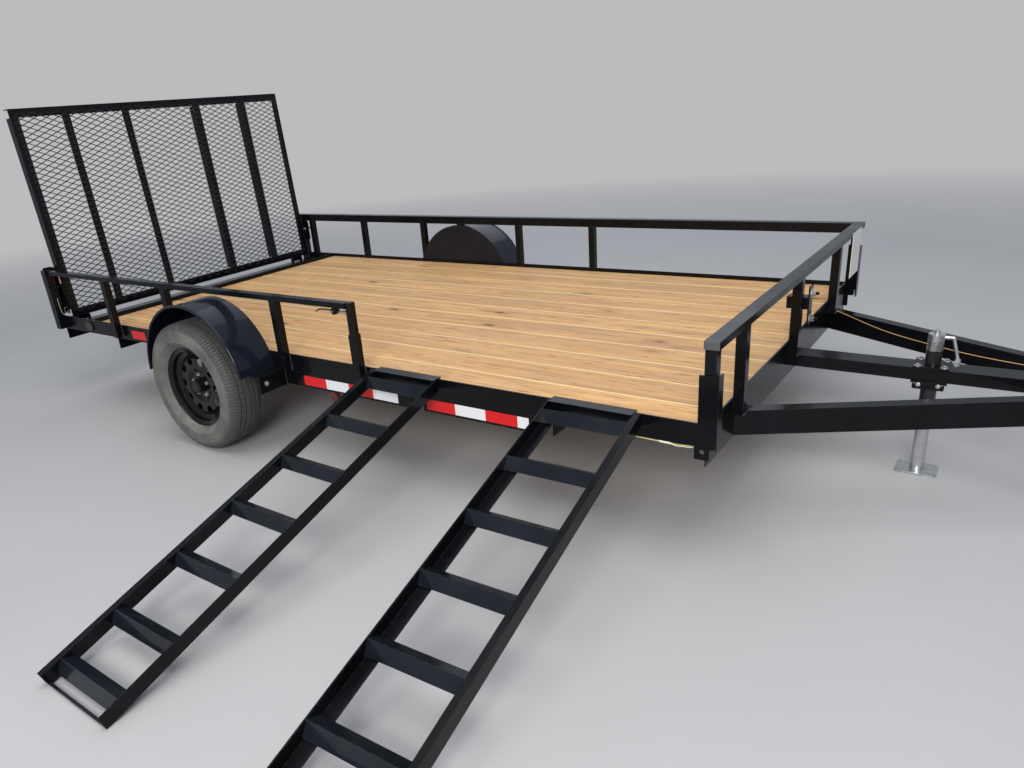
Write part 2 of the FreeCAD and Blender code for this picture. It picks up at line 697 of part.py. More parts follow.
def axle():
    """Round axle tube with a spindle turned on each end."""
    face_y = WHEEL_Y + DISC_Y
    shoulder = face_y - HUB_L - 6.0
    tube = rod((WHEEL_X, -shoulder, HUB_Z), (0, 2 * shoulder, 0), AXLE_R)
    spindle = rod((WHEEL_X, -face_y, HUB_Z), (0, 2 * face_y, 0), SPINDLE_R)
    return tube.fuse(spindle).removeSplitter()


def leaf(order, share):
    """One leaf as a strip of a ring, eye to eye for the first."""
    radius = (SPRING_HALF ** 2 + SPRING_CAMBER ** 2) / (2 * SPRING_CAMBER)
    bottom = HUB_Z + AXLE_R + SPRING_SEAT_H + (len(LEAF_SPANS) - 1 - order) * LEAF_T
    centre_z = bottom + order * 0.0 + radius
    half_angle = math.asin(SPRING_HALF * share / radius)

    def point(r, angle):
        return V(WHEEL_X + r * math.sin(angle), SPRING_Y - SPRING_W / 2, centre_z - r * math.cos(angle))

    outer = radius
    inner = radius - LEAF_T
    low = Part.Arc(point(outer, -half_angle), point(outer, 0), point(outer, half_angle)).toShape()
    high = Part.Arc(point(inner, half_angle), point(inner, 0), point(inner, -half_angle)).toShape()
    right = Part.makeLine(point(outer, half_angle), point(inner, half_angle))
    left = Part.makeLine(point(inner, -half_angle), point(outer, -half_angle))
    face = Part.Face(Part.Wire([low, right, high, left]))
    return face.extrude(V(0, SPRING_W, 0))


def leaf_spring():
    """Left spring: four leaves on a seat over the axle, with rolled eyes."""
    pack = leaf(0, LEAF_SPANS[0])
    for order, share in enumerate(LEAF_SPANS[1:], start=1):
        pack = pack.fuse(leaf(order, share))
    seat = block(WHEEL_X - 40.0, WHEEL_X + 40.0, SPRING_Y - SPRING_W / 2, SPRING_Y + SPRING_W / 2,
                 HUB_Z, HUB_Z + AXLE_R + SPRING_SEAT_H + LEAF_T)
    pack = pack.fuse(seat.cut(rod((WHEEL_X, 0, HUB_Z), (0, 2 * HALF_W, 0), AXLE_R)))
    for way in (-1, 1):
        eye_x = WHEEL_X + way * SPRING_HALF
        eye = pipe((eye_x, SPRING_Y - SPRING_W / 2, eye_z()), (0, SPRING_W, 0), EYE_R, EYE_R - 5.0)
        pack = pack.cut(rod((eye_x, 0, eye_z()), (0, 2 * HALF_W, 0), EYE_R - 5.0)).fuse(eye)
    return pack.removeSplitter()


def eye_z():
    return FRAME_BOTTOM - EYE_DROP


def spring_hangers():
    """Cheek plates under the side members with a pin through each spring eye."""
    solids = []
    for way in (-1, 1):
        eye_x = WHEEL_X + way * SPRING_HALF
        z_low = eye_z() - EYE_R - 6.0
        cheeks = []
        for y in (SPRING_Y - SPRING_W / 2 - HANGER_T - 1.0, SPRING_Y + SPRING_W / 2 + 1.0):
            cheeks.append(block(eye_x - HANGER_W / 2, eye_x + HANGER_W / 2, y, y + HANGER_T, z_low, FRAME_BOTTOM))
        pin = rod((eye_x, SPRING_Y - SPRING_W / 2 - HANGER_T - 4.0, eye_z()),
                  (0, SPRING_W + 2 * HANGER_T + 8.0, 0), EYE_R - 5.3)
        solids.append(cheeks[0].fuse([cheeks[1], pin]).removeSplitter())
    return solids + [mirrored(s) for s in solids]


def fender():
    """Left fender: rolled half round with a beaded outer lip and a flat inner plate."""
    y_in = HALF_W
    shell = pipe((FENDER_X, y_in, FENDER_Z), (0, FENDER_OUT_Y - y_in, 0), FENDER_R, FENDER_R - FENDER_T)
    ring_r = FENDER_R - FENDER_T / 2
    lip = Part.makeTorus(ring_r, FENDER_LIP_R, V(FENDER_X, FENDER_OUT_Y, FENDER_Z), V(0, 1, 0))
    plate = rod((FENDER_X, y_in, FENDER_Z), (0, FENDER_T, 0), FENDER_R - FENDER_T / 2)
    solid = shell.fuse([lip, plate])
    low_front = FENDER_Z + FENDER_FRONT_RISE
    low_rear = FENDER_Z + FENDER_REAR_RISE
    size = 2 * FENDER_R
    solid = solid.cut(block(FENDER_X, FENDER_X + size, 0, 2 * FENDER_OUT_Y, FENDER_Z - size, low_front))
    solid = solid.cut(block(FENDER_X - size, FENDER_X, 0, 2 * FENDER_OUT_Y, FENDER_Z - size, low_rear))
    plate_cut = block(FENDER_X - size, FENDER_X + size, y_in, y_in + FENDER_T, 0, FRAME_BOTTOM)
    return solid.cut(plate_cut)


def fender_bracket(way):
    """Angle under one end of the left fender: way is 1 in front and -1 behind."""
    rise = FENDER_FRONT_RISE if way > 0 else FENDER_REAR_RISE
    end_z = FENDER_Z + rise
    end_x = FENDER_X + way * math.sqrt(FENDER_R ** 2 - rise ** 2)
    y1 = HALF_W + FENDER_BRACKET_OUT
    x_far = end_x + way * FENDER_BRACKET_L
    ledge = block(end_x - way * 12.0, x_far, HALF_W, y1, end_z - STEEL_T, end_z)
    drop = block(x_far - way * STEEL_T, x_far, HALF_W, y1, end_z - FENDER_BRACKET_H, end_z)
    return ledge.fuse(drop).removeSplitter()


def fender_brackets():
    pieces = [fender_bracket(1), fender_bracket(-1)]
    return pieces + [mirrored(p) for p in pieces]


def rear_member():
    """Angle across the rear end that carries the gate hinges."""
    x = -FRAME_L
    flange = CROSS_TOP - CROSS_T
    reach = REAR_MEMBER_LEG
    corners = [(x, CROSS_BOTTOM), (x, CROSS_TOP), (x + reach, CROSS_TOP), (x + reach, flange),
               (x + CROSS_T, flange), (x + CROSS_T, CROSS_BOTTOM)]
    half = HALF_W - STEEL_T
    bar = prism([(px, -half, pz) for px, pz in corners], (0, 2 * half, 0))
    for side in both_sides(side_frame()):
        bar = bar.cut(side)
    return bar


def gate_hinge_lugs():
    """Lugs on the rear member and the rods through them."""
    solids = []
    half = HINGE_BARREL_L / 2
    top = GATE_HINGE_Z + HINGE_BARREL_R
    for way in (-1, 1):
        y_start = HINGE_Y + way * (half + 1.0)
        lug = block(GATE_HINGE_X - HINGE_BARREL_R, GATE_HINGE_X + HINGE_BARREL_R, y_start,
                    y_start + way * HINGE_LUG_T, CROSS_TOP, top)
        lug = lug.cut(rod((GATE_HINGE_X, 0, GATE_HINGE_Z), (0, 2 * HALF_W, 0), HINGE_ROD_R))
        solids.append(lug)
    reach = half + 1.0 + HINGE_LUG_T + 4.0
    pin = rod((GATE_HINGE_X, HINGE_Y - reach, GATE_HINGE_Z), (0, 2 * reach, 0), HINGE_ROD_R)
    joined = pin.fuse(solids).removeSplitter()
    return both_sides(joined)


def lean(shape):
    """Stand a gate piece on the hinge line and lean it back."""
    moved = shape.translated(V(GATE_HINGE_X, 0, GATE_HINGE_Z))
    return moved.rotated(V(GATE_HINGE_X, 0, GATE_HINGE_Z), V(0, 1, 0), -GATE_LEAN)


def gate_sides():
    """Side angles between the top and bottom bars, legs turned back."""
    half = GATE_W / 2
    z0 = GATE_GAP + GATE_ANGLE
    z1 = GATE_GAP + GATE_H - GATE_ANGLE
    corners = [(0, half), (-GATE_ANGLE, half), (-GATE_ANGLE, half - GATE_T), (-GATE_T, half - GATE_T),
               (-GATE_T, half - GATE_ANGLE), (0, half - GATE_ANGLE)]
    bar = prism([(GATE_FACE + x, y, z0) for x, y in corners], (0, 0, z1 - z0))
    return [lean(s) for s in both_sides(bar)]


def gate_cross_bars():
    """Top and bottom angles across the whole gate."""
    half = GATE_W / 2
    top = GATE_GAP + GATE_H
    upper = [(0, top), (-GATE_ANGLE, top), (-GATE_ANGLE, top - GATE_T), (-GATE_T, top - GATE_T),
             (-GATE_T, top - GATE_ANGLE), (0, top - GATE_ANGLE)]
    seat = GATE_GAP + GATE_ANGLE
    lower = [(0, GATE_GAP), (0, seat), (-GATE_T, seat), (-GATE_T, GATE_GAP + GATE_T),
             (-GATE_ANGLE, GATE_GAP + GATE_T), (-GATE_ANGLE, GATE_GAP)]
    rings = [[(GATE_FACE + x, -half, z) for x, z in ring] for ring in (upper, lower)]
    return [lean(prism(ring, (0, GATE_W, 0))) for ring in rings]


def gate_bars():
    """Upright angles behind the mesh."""
    bars = []
    z0 = GATE_GAP + GATE_ANGLE
    z1 = GATE_GAP + GATE_H - GATE_ANGLE
    for y in GATE_BARS:
        way = 1 if y > 0 else -1
        corners = [(0, 0), (0, GATE_BAR_ANGLE), (-GATE_T, GATE_BAR_ANGLE), (-GATE_T, GATE_T),
                   (-GATE_BAR_ANGLE, GATE_T), (-GATE_BAR_ANGLE, 0)]
        start = y - way * GATE_BAR_ANGLE / 2
        ring = [(GATE_FACE + x, start + way * dy, z0) for x, dy in corners]
        bars.append(lean(prism(ring, (0, 0, z1 - z0))))
    return bars


def gate_mesh():
    """Diamond mesh: two crossing families of slanted strands, one in front of the other."""
    half = GATE_W / 2 - MESH_LAP
    z0 = GATE_GAP + MESH_LAP
    z1 = GATE_GAP + GATE_H - MESH_LAP
    slope = MESH_SHORT / MESH_LONG
    rise = 2 * half * slope
    count = int((z1 - z0 + rise) / MESH_SHORT)
    thick = MESH_STRAND * math.sqrt(1 + slope * slope)
    panel = block(GATE_FACE, GATE_FACE + 2 * MESH_T, -half, half, z0, z1)
    strands = []
    for way, x in ((1, GATE_FACE), (-1, GATE_FACE + MESH_T)):
        for k in range(count):
            z = z0 - rise + (k + 0.5) * MESH_SHORT
            left, right = (z, z + rise) if way > 0 else (z + rise, z)
            ring = [(x, -half, left), (x, half, right), (x, half, right + thick), (x, -half, left + thick)]
            strand = prism(ring, (MESH_T, 0, 0)).common(panel)
            strands.extend(lean(s) for s in strand.Solids)
    return strands


def gate_barrels():
    """Hinge barrels with the webs that join them to the bottom bar."""
    half = HINGE_BARREL_L / 2
    bore = HINGE_ROD_R + HINGE_GAP
    barrel = pipe((0, HINGE_Y - half, 0), (0, HINGE_BARREL_L, 0), HINGE_BARREL_R, bore)
    web = block(GATE_FACE - GATE_ANGLE, HINGE_BARREL_R, HINGE_Y - half, HINGE_Y + half, 0, GATE_GAP)
    web = web.cut(rod((0, 0, 0), (0, 2 * HALF_W, 0), bore))
    joined = barrel.fuse(web).removeSplitter()
    return [lean(s) for s in both_sides(joined)]


def gate_latches():
    """Spring pin latches on the rear posts, drawn back clear of the gate."""
    x = -FRAME_L + REAR_POST
    y0 = GATE_W / 2 + LATCH_CLEAR
    y1 = HALF_W + REAR_POST - LATCH_R
    axis_x = x + LATCH_R + RAIL_WALL
    body = rod((axis_x, HALF_W, LATCH_Z), (0, y1 - HALF_W, 0), LATCH_R)
    pin = rod((axis_x, y0, LATCH_Z), (0, y1 + 2 * LATCH_R - y0, 0), LATCH_PIN_R)
    foot = block(x, axis_x, HALF_W, y1, LATCH_Z - LATCH_R, LATCH_Z + LATCH_R)
    return both_sides(body.fuse([pin, foot]).removeSplitter())


def slope_point(s, h):
    """Point (y, z) at distance s up a ramp from its foot and h off its under side."""
    a = math.radians(RAMP_ANGLE)
    return (RAMP_FOOT_Y + s * math.cos(a) - h * math.sin(a), s * math.sin(a) + h * math.cos(a))


def sloped(x0, x1, s0, s1, h0, h1):
    ring = [slope_point(s0, h0), slope_point(s1, h0), slope_point(s1, h1), slope_point(s0, h1)]
    return prism([(x0, y, z) for y, z in ring], (x1 - x0, 0, 0))


def ramp_place(name, shapes):
    """Swing a ramp's pieces a little about its top, then cut them off square beside the frame."""
    centre = V(RAMP_CENTRES[name], RAMP_TOP_Y, 0)
    room = block(-FRAME_L, FRAME_L, 2 * RAMP_FOOT_Y, RAMP_TOP_Y, -FRAME_L, FRAME_L)
    swung = [s.rotated(centre, V(0, 0, 1), RAMP_YAWS[name]) for s in shapes]
    return [s.common(room) for s in swung]


def ramp_rails(name):
    """Flat tube on the ramp's outer side and an angle with its flat leg below on the inner side."""
    way = -1 if name == "ramp_rear" else 1
    centre = RAMP_CENTRES[name]
    half = RAMP_CLEAR / 2
    long = RAMP_L + RAMP_RAIL_H
    high = RAMP_RAIL_H

    def strip(near, far, low, top):
        x0, x1 = sorted((centre + way * near, centre + way * far))
        return sloped(x0, x1, 0, long, low, top)

    wall = RAMP_TUBE_WALL
    hollow = strip(half + wall, half + RAMP_TUBE_W - wall, wall, high - wall)
    tube = strip(half, half + RAMP_TUBE_W, 0, high).cut(hollow)
    outer = -half - RAMP_T
    angle = strip(outer, -half, 0, high).fuse(strip(outer, outer + RAMP_LEG, 0, RAMP_T))
    return ramp_place(name, [tube, angle.removeSplitter()])


def rung(x0, x1, s):
    """Angle with its corner up, seen from its end as a roof."""
    tilt = math.radians(RUNG_TILT)
    down = (-math.cos(tilt), -math.sin(tilt))
    up = (math.sin(tilt), -math.cos(tilt))

    def corner(a, b):
        return slope_point(s + a * down[0] + b * up[0], RAMP_RAIL_H + a * down[1] + b * up[1])

    legs = [(0, 0), (RUNG_LEG, 0), (RUNG_LEG, RAMP_T), (RAMP_T, RAMP_T), (RAMP_T, RUNG_LEG), (0, RUNG_LEG)]
    return prism([(x0, *corner(a, b)) for a, b in legs], (x1 - x0, 0, 0))


def ramp_rungs(name):
    """Angle rungs, and the bar across the feet."""
    x0 = RAMP_CENTRES[name] - RAMP_CLEAR / 2
    x1 = x0 + RAMP_CLEAR
    places = [RAMP_FOOT_RUNG] + [RAMP_RUNG_FIRST + k * RAMP_RUNG_PITCH for k in range(RAMP_RUNG_COUNT)]
    bar = sloped(x0, x1, 0, FOOT_BAR, 0, FOOT_BAR)
    pieces = ramp_place(name, [bar] + [rung(x0, x1, s) for s in places])
    for rail in ramp_rails(name):
        pieces = [p.cut(rail) for p in pieces]
    return pieces


def ramp_lip(name):
    """Angle that hooks over the top edge of the side member."""
    x0 = RAMP_CENTRES[name] - RAMP_CLEAR / 2
    x1 = x0 + RAMP_CLEAR
    z0 = FRAME_TOP + LIP_GAP
    shelf = block(x0, x1, RAMP_TOP_Y - LIP_OVER, -HALF_W + LIP_IN, z0, z0 + LIP_T)
    drop = block(x0, x1, RAMP_TOP_Y, RAMP_TOP_Y + RAMP_T, FRAME_TOP - LIP_DROP, z0)
    lip = shelf.fuse(drop).removeSplitter()
    for rail in ramp_rails(name):
        lip = lip.cut(rail)
    return lip


def stadium(length, height, depth):
    """Long lens with round ends, flat in the XZ plane and pushed along +Y."""
    r = height / 2
    reach = length / 2 - r
    body = block(-reach, reach, 0, depth, -r, r)
    return body.fuse([rod((x, 0, 0), (0, depth, 0), r) for x in (-reach, reach)]).removeSplitter()


def side_lamps():
    length, height, depth = SIDE_LAMP
    z = (FRAME_BOTTOM + FRAME_TOP) / 2
    return both_sides(stadium(length, height, depth).translated(V(SIDE_LAMP_X, HALF_W, z)))


def tail_lamps():
    """Lamps on the rear member, below the gate."""
    length, height, depth = TAIL_LAMP
    lamp = stadium(length, height, depth).rotated(V(0, 0, 0), V(0, 0, 1), 90)
    z = (CROSS_BOTTOM + CROSS_TOP) / 2
    return both_sides(lamp.translated(V(-FRAME_L, TAIL_LAMP_Y, z)))


def marker_lamps():
    """Round lamps that hang on a strap under the side members' lower bars."""
    y1 = HALF_W
    z = CROSS_BOTTOM - MARKER_R
    lens = rod((MARKER_X, y1 - MARKER_L, z), (0, MARKER_L, 0), MARKER_R)
    strap = block(MARKER_X - MARKER_R / 2, MARKER_X + MARKER_R / 2, y1 - STEEL_T - MARKER_STRAP, y1 - STEEL_T,
                  z, CROSS_TOP - BOARD_T)
    return both_sides(lens.fuse(strap).removeSplitter())


def front_panel():
    """Blank white panel on the front rail's left end."""
    return block(RAIL, RAIL + SHEET_T, *PANEL_Y, *PANEL_Z)


def wheel_pair(shape):
    return {"left": shape, "right": mirrored(shape)}


def nodes():
    """Every node of the trailer as a list of solids."""
    parts = {
        "side_frames": both_sides(side_frame()),
        "front_frame": [front_frame()],
        "cross_members": cross_members() + [front_cross_member(), rear_member()],
        "deck_end_angles": [front_ledger(), deck_end_angle()],
        "deck_boards": deck_boards(),
        "lower_side_bars": lower_side_bars(),
        "rails_side": [far_rail(), near_rail()],
        "rail_front": [front_rail()],
        "front_panel": [front_panel()],
        "lamps": side_lamps() + tail_lamps() + marker_lamps(),
        "posts_side": side_posts(FAR_POSTS, 1) + side_posts(NEAR_POSTS, -1) + [rail_end_post()] + rear_posts(),
        "posts_front": front_posts(),
        "posts_corner": corner_posts(),
        "rail_caps": rail_caps(),
        "corner_brackets": corner_brackets(),
        "corner_tabs": corner_tabs(),
        "tongue_side_beams": both_sides(tongue_side_beam()),
        "tongue_beam_center": [tongue_center_beam()],
        "coupler": [coupler()],
        "coupler_latch": [coupler_latch()],
        "jack_plates": jack_plates(),
        "jack_tube": [jack_tube()],
        "jack_head": [jack_head()],
        "jack_leg": [jack_leg()],
        "spare_carrier": [spare_carrier()],
        "axle": [axle()],
        "leaf_springs": both_sides(leaf_spring()),
        "spring_hangers": spring_hangers(),
        "fenders": both_sides(fender()),
        "fender_brackets": fender_brackets(),
        "gate_hinge_lugs": gate_hinge_lugs(),
        "gate_latches": gate_latches(),
        "gate_uprights": gate_sides() + gate_bars(),
        "gate_cross_bars": gate_cross_bars(),
        "gate_mesh": gate_mesh(),
        "gate_barrels": gate_barrels(),
    }
    for piece, shape in (("tyre", tyre()), ("rim", rim()), ("hub", hub())):
        for side, solid in wheel_pair(shape).items():
            parts[piece + "_" + side] = [solid]
    for name in RAMP_CENTRES:
        parts[name + "_rails"] = ramp_rails(name)
        parts[name + "_rungs"] = ramp_rungs(name)
        parts[name + "_lip"] = [ramp_lip(name)]
    return parts


def export(parts):
    os.makedirs("parts", exist_ok=True)
    shift = V(-BALL_X, 0, -BALL_Z)
    for name, pieces in parts.items():
        solids = [solid.translated(shift) for piece in pieces for solid in piece.Solids]
        shape = solids[0] if len(solids) == 1 else Part.makeCompound(solids)
        shape.exportStep("parts/" + name + ".step")
        print(name, len(solids), round(sum(s.Volume for s in solids) / 1e6, 2), shape.isValid())


export(nodes())
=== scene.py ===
"""Looks of the utility trailer: finishes of its parts, and its tyres, tape, fasteners, welds and wires."""

import math

import bmesh
import bpy
from mathutils import Matrix, Quaternion, Vector


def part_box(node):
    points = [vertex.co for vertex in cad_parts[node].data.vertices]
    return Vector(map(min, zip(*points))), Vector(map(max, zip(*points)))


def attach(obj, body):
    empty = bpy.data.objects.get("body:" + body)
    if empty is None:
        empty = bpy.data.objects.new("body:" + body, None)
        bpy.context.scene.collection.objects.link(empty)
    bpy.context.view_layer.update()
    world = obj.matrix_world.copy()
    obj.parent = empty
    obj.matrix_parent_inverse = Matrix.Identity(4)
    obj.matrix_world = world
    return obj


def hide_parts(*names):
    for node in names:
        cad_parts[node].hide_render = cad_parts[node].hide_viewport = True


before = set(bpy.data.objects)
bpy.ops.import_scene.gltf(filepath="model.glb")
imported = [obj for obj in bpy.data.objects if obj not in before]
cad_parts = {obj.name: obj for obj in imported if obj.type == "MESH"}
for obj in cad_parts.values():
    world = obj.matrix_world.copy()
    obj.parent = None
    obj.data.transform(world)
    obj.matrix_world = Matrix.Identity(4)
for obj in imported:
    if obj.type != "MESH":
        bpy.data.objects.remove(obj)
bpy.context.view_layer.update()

# The part's source has its zero at the front frame on the ground, in millimetres.
SHIFT = Vector((-1345.0, 0.0, -440.0))

# Places and sizes of the part, in the source's millimetres.
HALF_W = 1040.0
DECK_TOP = 495.0
WHEEL_X = -2575.0
WHEEL_Y = 1177.0
HUB_Z = 337.0
TYRE_R = 337.0
TYRE_HALF = 102.5
BEAD_R = 190.8
JACK_X = 527.0
BEAM_TOP = 457.0
CENTER_LOW = 406.0
BOARD_COUNT = 11
BOARD_W = 184.0
BOARD_PITCH = 188.0
DECK_EDGE = 1032.0
DECK_FRONT = -8.0
DECK_REAR = -3842.0
CROSS_FIRST = -592.0
CROSS_LAST = -3607.0
CROSS_COUNT = 6
SIDES = (-1, 1)

# Where a finish changes within one node, and where the painted reflection on the front rail caps starts, in
# this frame's metres.
SIDE_LAMP_ZONE = -5.29
MARKER_ZONE = -5.0
# Forward of this x the rail caps are painted grey all over: a painted reflection of the sky on their tops.
CAP_REFLECTION_FROM = -1.4
LOWER_TUBE_TOP = 0.082

# Angles up to which a piece is shaded smooth.
CRISP = 20.0
ROUND = 30.0
TREAD_ROUND = 32.0
SOFT = 60.0


def at(x, y, z):
    """A point of the part's source, in millimetres, as metres of this frame."""
    return (Vector((x, y, z)) + SHIFT) / 1000.0


def hand(side):
    return "left" if side > 0 else "right"


# Camera, from the fit of the trailer's straight edges.
def add_camera():
    data = bpy.data.cameras.new("photo_camera")
    data.lens = 26.6248
    data.sensor_width = 36.0
    data.shift_x = 0.03783
    data.shift_y = 0.03152
    data.clip_end = 200.0
    camera = bpy.data.objects.new("photo_camera", data)
    bpy.context.scene.collection.objects.link(camera)
    camera.rotation_mode = "QUATERNION"
    camera.rotation_quaternion = Quaternion((0.79816, 0.517285, 0.202978, 0.232717))
    camera.location = at(780.11, -3294.765, 1560.159)
    bpy.context.scene.camera = camera


add_camera()


# Shader groups.
class Patch:
    """Nodes of one material or group, wired by name."""

    def __init__(self, tree):
        self.tree = tree

    def node(self, kind, settings=None, **inputs):
        made = self.tree.nodes.new(kind)
        for key, value in (settings or {}).items():
            setattr(made, key, value)
        for key, value in inputs.items():
            self.feed(made, key, value)
        return made

    def feed(self, made, key, value):
        """Sets or links an input, named with _ for a space, or by its number after a _."""
        numbered = key[0] == "_" and key[1:].isdigit()
        socket = made.inputs[int(key[1:]) if numbered else key.replace("_", " ")]
        if isinstance(value, bpy.types.NodeSocket):
            self.tree.links.new(value, socket)
        else:
            socket.default_value = value

    def math(self, operation, a, b=0.0, c=0.0, clamp=False):
        made = self.node("ShaderNodeMath", {"operation": operation, "use_clamp": clamp})
        for k, value in enumerate((a, b, c)):
            self.feed(made, f"_{k}", value)
        return made.outputs[0]

    def noise(self, vector, scale, detail, roughness):
        made = self.node("ShaderNodeTexNoise", Vector=vector, Scale=scale, Detail=detail, Roughness=roughness)
        return made.outputs["Fac"]

    def span(self, value, low, high, to_low=0.0, to_high=1.0):
        made = self.node("ShaderNodeMapRange", Value=value)
        for key, amount in (("From Min", low), ("From Max", high), ("To Min", to_low), ("To Max", to_high)):
            made.inputs[key].default_value = amount
        return made.outputs["Result"]

    def mix(self, factor, a, b):
        made = self.node("ShaderNodeMix", {"data_type": "RGBA", "clamp_factor": True})
        self.feed(made, "_0", factor)
        self.feed(made, "_6", a)
        self.feed(made, "_7", b)
        return made.outputs[2]

    def stretch(self, vector, x, y, z):
        made = self.node("ShaderNodeMapping", Vector=vector, Scale=(x, y, z))
        return made.outputs["Vector"]


def group(name, ins, outs):
    """An empty shader group: ins and outs are (name, kind, default) rows."""
    tree = bpy.data.node_groups.new(name, "ShaderNodeTree")
    kinds = {"value": "NodeSocketFloat", "color": "NodeSocketColor", "vector": "NodeSocketVector"}
    for label, kind, default in ins:
        socket = tree.interface.new_socket(label, in_out="INPUT", socket_type=kinds[kind])
        if default is not None:
            socket.default_value = default
    for label, kind, _ in outs:
        tree.interface.new_socket(label, in_out="OUTPUT", socket_type=kinds[kind])
    source = tree.nodes.new("NodeGroupInput")
    sink = tree.nodes.new("NodeGroupOutput")
    return tree, Patch(tree), source.outputs, sink.inputs


def worn_edge_group():
    """Rounded edge normal, and a mask that is 1 on a convex edge where the finish is rubbed."""
    tree, p, ins, outs = group(
        "worn_edge",
        [("Place", "vector", None), ("Edge Width", "value", 0.0015), ("Break Up", "value", 60.0)],
        [("Normal", "vector", None), ("Worn", "value", None)])
    rounded = p.node("ShaderNodeBevel", {"samples": 4}, Radius=ins["Edge Width"])
    flat = p.node("ShaderNodeNewGeometry")
    dot = p.node("ShaderNodeVectorMath", {"operation": "DOT_PRODUCT"})
    tree.links.new(rounded.outputs["Normal"], dot.inputs[0])
    tree.links.new(flat.outputs["Normal"], dot.inputs[1])
    turn = p.span(dot.outputs["Value"], 0.995, 0.86)
    patchy = p.span(p.noise(ins["Place"], ins["Break Up"], 3.0, 0.6), 0.42, 0.62)
    tree.links.new(p.math("MULTIPLY", turn, patchy, clamp=True), outs["Worn"])
    tree.links.new(rounded.outputs["Normal"], outs["Normal"])
    return tree


def dust_group():
    """Mask for dust: thin all over, thicker in patches and on faces that look up."""
    tree, p, ins, outs = group(
        "road_dust", [("Place", "vector", None), ("Amount", "value", 0.2)], [("Dust", "value", None)])
    cloud = p.span(p.noise(ins["Place"], 5.0, 6.0, 0.65), 0.35, 0.75)
    speck = p.span(p.noise(ins["Place"], 160.0, 3.0, 0.7), 0.5, 0.75)
    parts = p.node("ShaderNodeSeparateXYZ", Vector=p.node("ShaderNodeNewGeometry").outputs["Normal"])
    up = p.span(parts.outputs["Z"], -0.2, 1.0, 0.35, 1.0)
    both = p.math("MULTIPLY_ADD", speck, 0.35, cloud)
    tree.links.new(p.math("MULTIPLY", p.math("MULTIPLY", both, up), ins["Amount"], clamp=True), outs["Dust"])
    return tree


def blotch_group():
    """Slow and fast variation in one value from 0 to 1, for tone and roughness."""
    tree, p, ins, outs = group(
        "blotch", [("Place", "vector", None), ("Size", "value", 8.0), ("Fine", "value", 90.0)],
        [("Tone", "value", None), ("Grit", "value", None)])
    tree.links.new(p.span(p.noise(ins["Place"], ins["Size"], 5.0, 0.6), 0.3, 0.7), outs["Tone"])
    tree.links.new(p.noise(ins["Place"], ins["Fine"], 3.0, 0.6), outs["Grit"])
    return tree


WORN_EDGE = worn_edge_group()
ROAD_DUST = dust_group()
BLOTCH = blotch_group()


class Finish(Patch):
    """A material with its Principled shader and object coordinates ready."""

    def __init__(self, name, **constants):
        self.material = bpy.data.materials.new(name)
        self.material.use_nodes = True
        super().__init__(self.material.node_tree)
        self.tree.nodes.clear()
        self.shader = self.tree.nodes.new("ShaderNodeBsdfPrincipled")
        output = self.tree.nodes.new("ShaderNodeOutputMaterial")
        self.tree.links.new(self.shader.outputs[0], output.inputs[0])
        self.place = self.tree.nodes.new("ShaderNodeTexCoord").outputs["Object"]
        for key, value in constants.items():
            self.feed(self.shader, key, value)

    def use(self, tree, **inputs):
        made = self.tree.nodes.new("ShaderNodeGroup")
        made.node_tree = tree
        for key, value in inputs.items():
            self.feed(made, key, value)
        return made.outputs

    def bump(self, height, strength, distance, normal=None):
        made = self.node("ShaderNodeBump", Height=height, Strength=strength, Distance=distance)
        if normal is not None:
            self.tree.links.new(normal, made.inputs["Normal"])
        return made.outputs["Normal"]


def gloss_black(name, tone, lift, dust, roughness=(0.13, 0.3), peel=0.05, coat=0.1, reflection_from=None):
    """Gloss black steel paint with orange peel, rubbed edges and a little dust, painted grey forward of a
    given x as a painted reflection.
    """
    f = Finish(name, Specular_IOR_Level=0.13, Coat_Weight=coat, Coat_Roughness=0.06, IOR=1.5)
    edge = f.use(WORN_EDGE, Place=f.place)
    blotch = f.use(BLOTCH, Place=f.place, Size=6.0, Fine=420.0)
    film = f.use(ROAD_DUST, Place=f.place, Amount=dust)
    color = f.mix(blotch["Tone"], tone, lift)
    color = f.mix(f.math("MULTIPLY", edge["Worn"], 0.5), color, (0.16, 0.16, 0.165, 1))
    color = f.mix(film["Dust"], color, (0.23, 0.21, 0.18, 1))
    if reflection_from is not None:
        # Painted reflection: forward of that x the colour is a flat grey.
        forward = f.node("ShaderNodeSeparateXYZ", Vector=f.place).outputs["X"]
        color = f.mix(f.math("GREATER_THAN", forward, reflection_from), color, (0.085, 0.085, 0.085, 1))
    f.feed(f.shader, "Base Color", color)
    rough = f.span(blotch["Tone"], 0.0, 1.0, *roughness)
    f.feed(f.shader, "Roughness", f.math("MULTIPLY_ADD", film["Dust"], 0.5, rough, clamp=True))
    f.feed(f.shader, "Normal", f.bump(blotch["Grit"], peel, 0.0008, edge["Normal"]))
    return f.material


PALE_BOARD = (0.82, 0.49, 0.19, 1)
DEEP_BOARD = (0.62, 0.365, 0.15, 1)
LATE_WOOD = (0.42, 0.20, 0.07, 1)
RESIN = (0.50, 0.24, 0.08, 1)
GREY_HEART = (0.42, 0.24, 0.14, 1)
PALE_FIBRE = (0.84, 0.62, 0.33, 1)
DARK_STREAK = (0.28, 0.14, 0.06, 1)
BARK_FLECK = (0.17, 0.075, 0.035, 1)
KNOT_HALO = (0.36, 0.16, 0.06, 1)
KNOT_HEART = (0.085, 0.038, 0.018, 1)
EDGE_HIGHLIGHT_PAINT = (0.92, 0.76, 0.42, 1)
TRODDEN = (0.36, 0.31, 0.25, 1)
YEAR_WIDTH = 0.0085


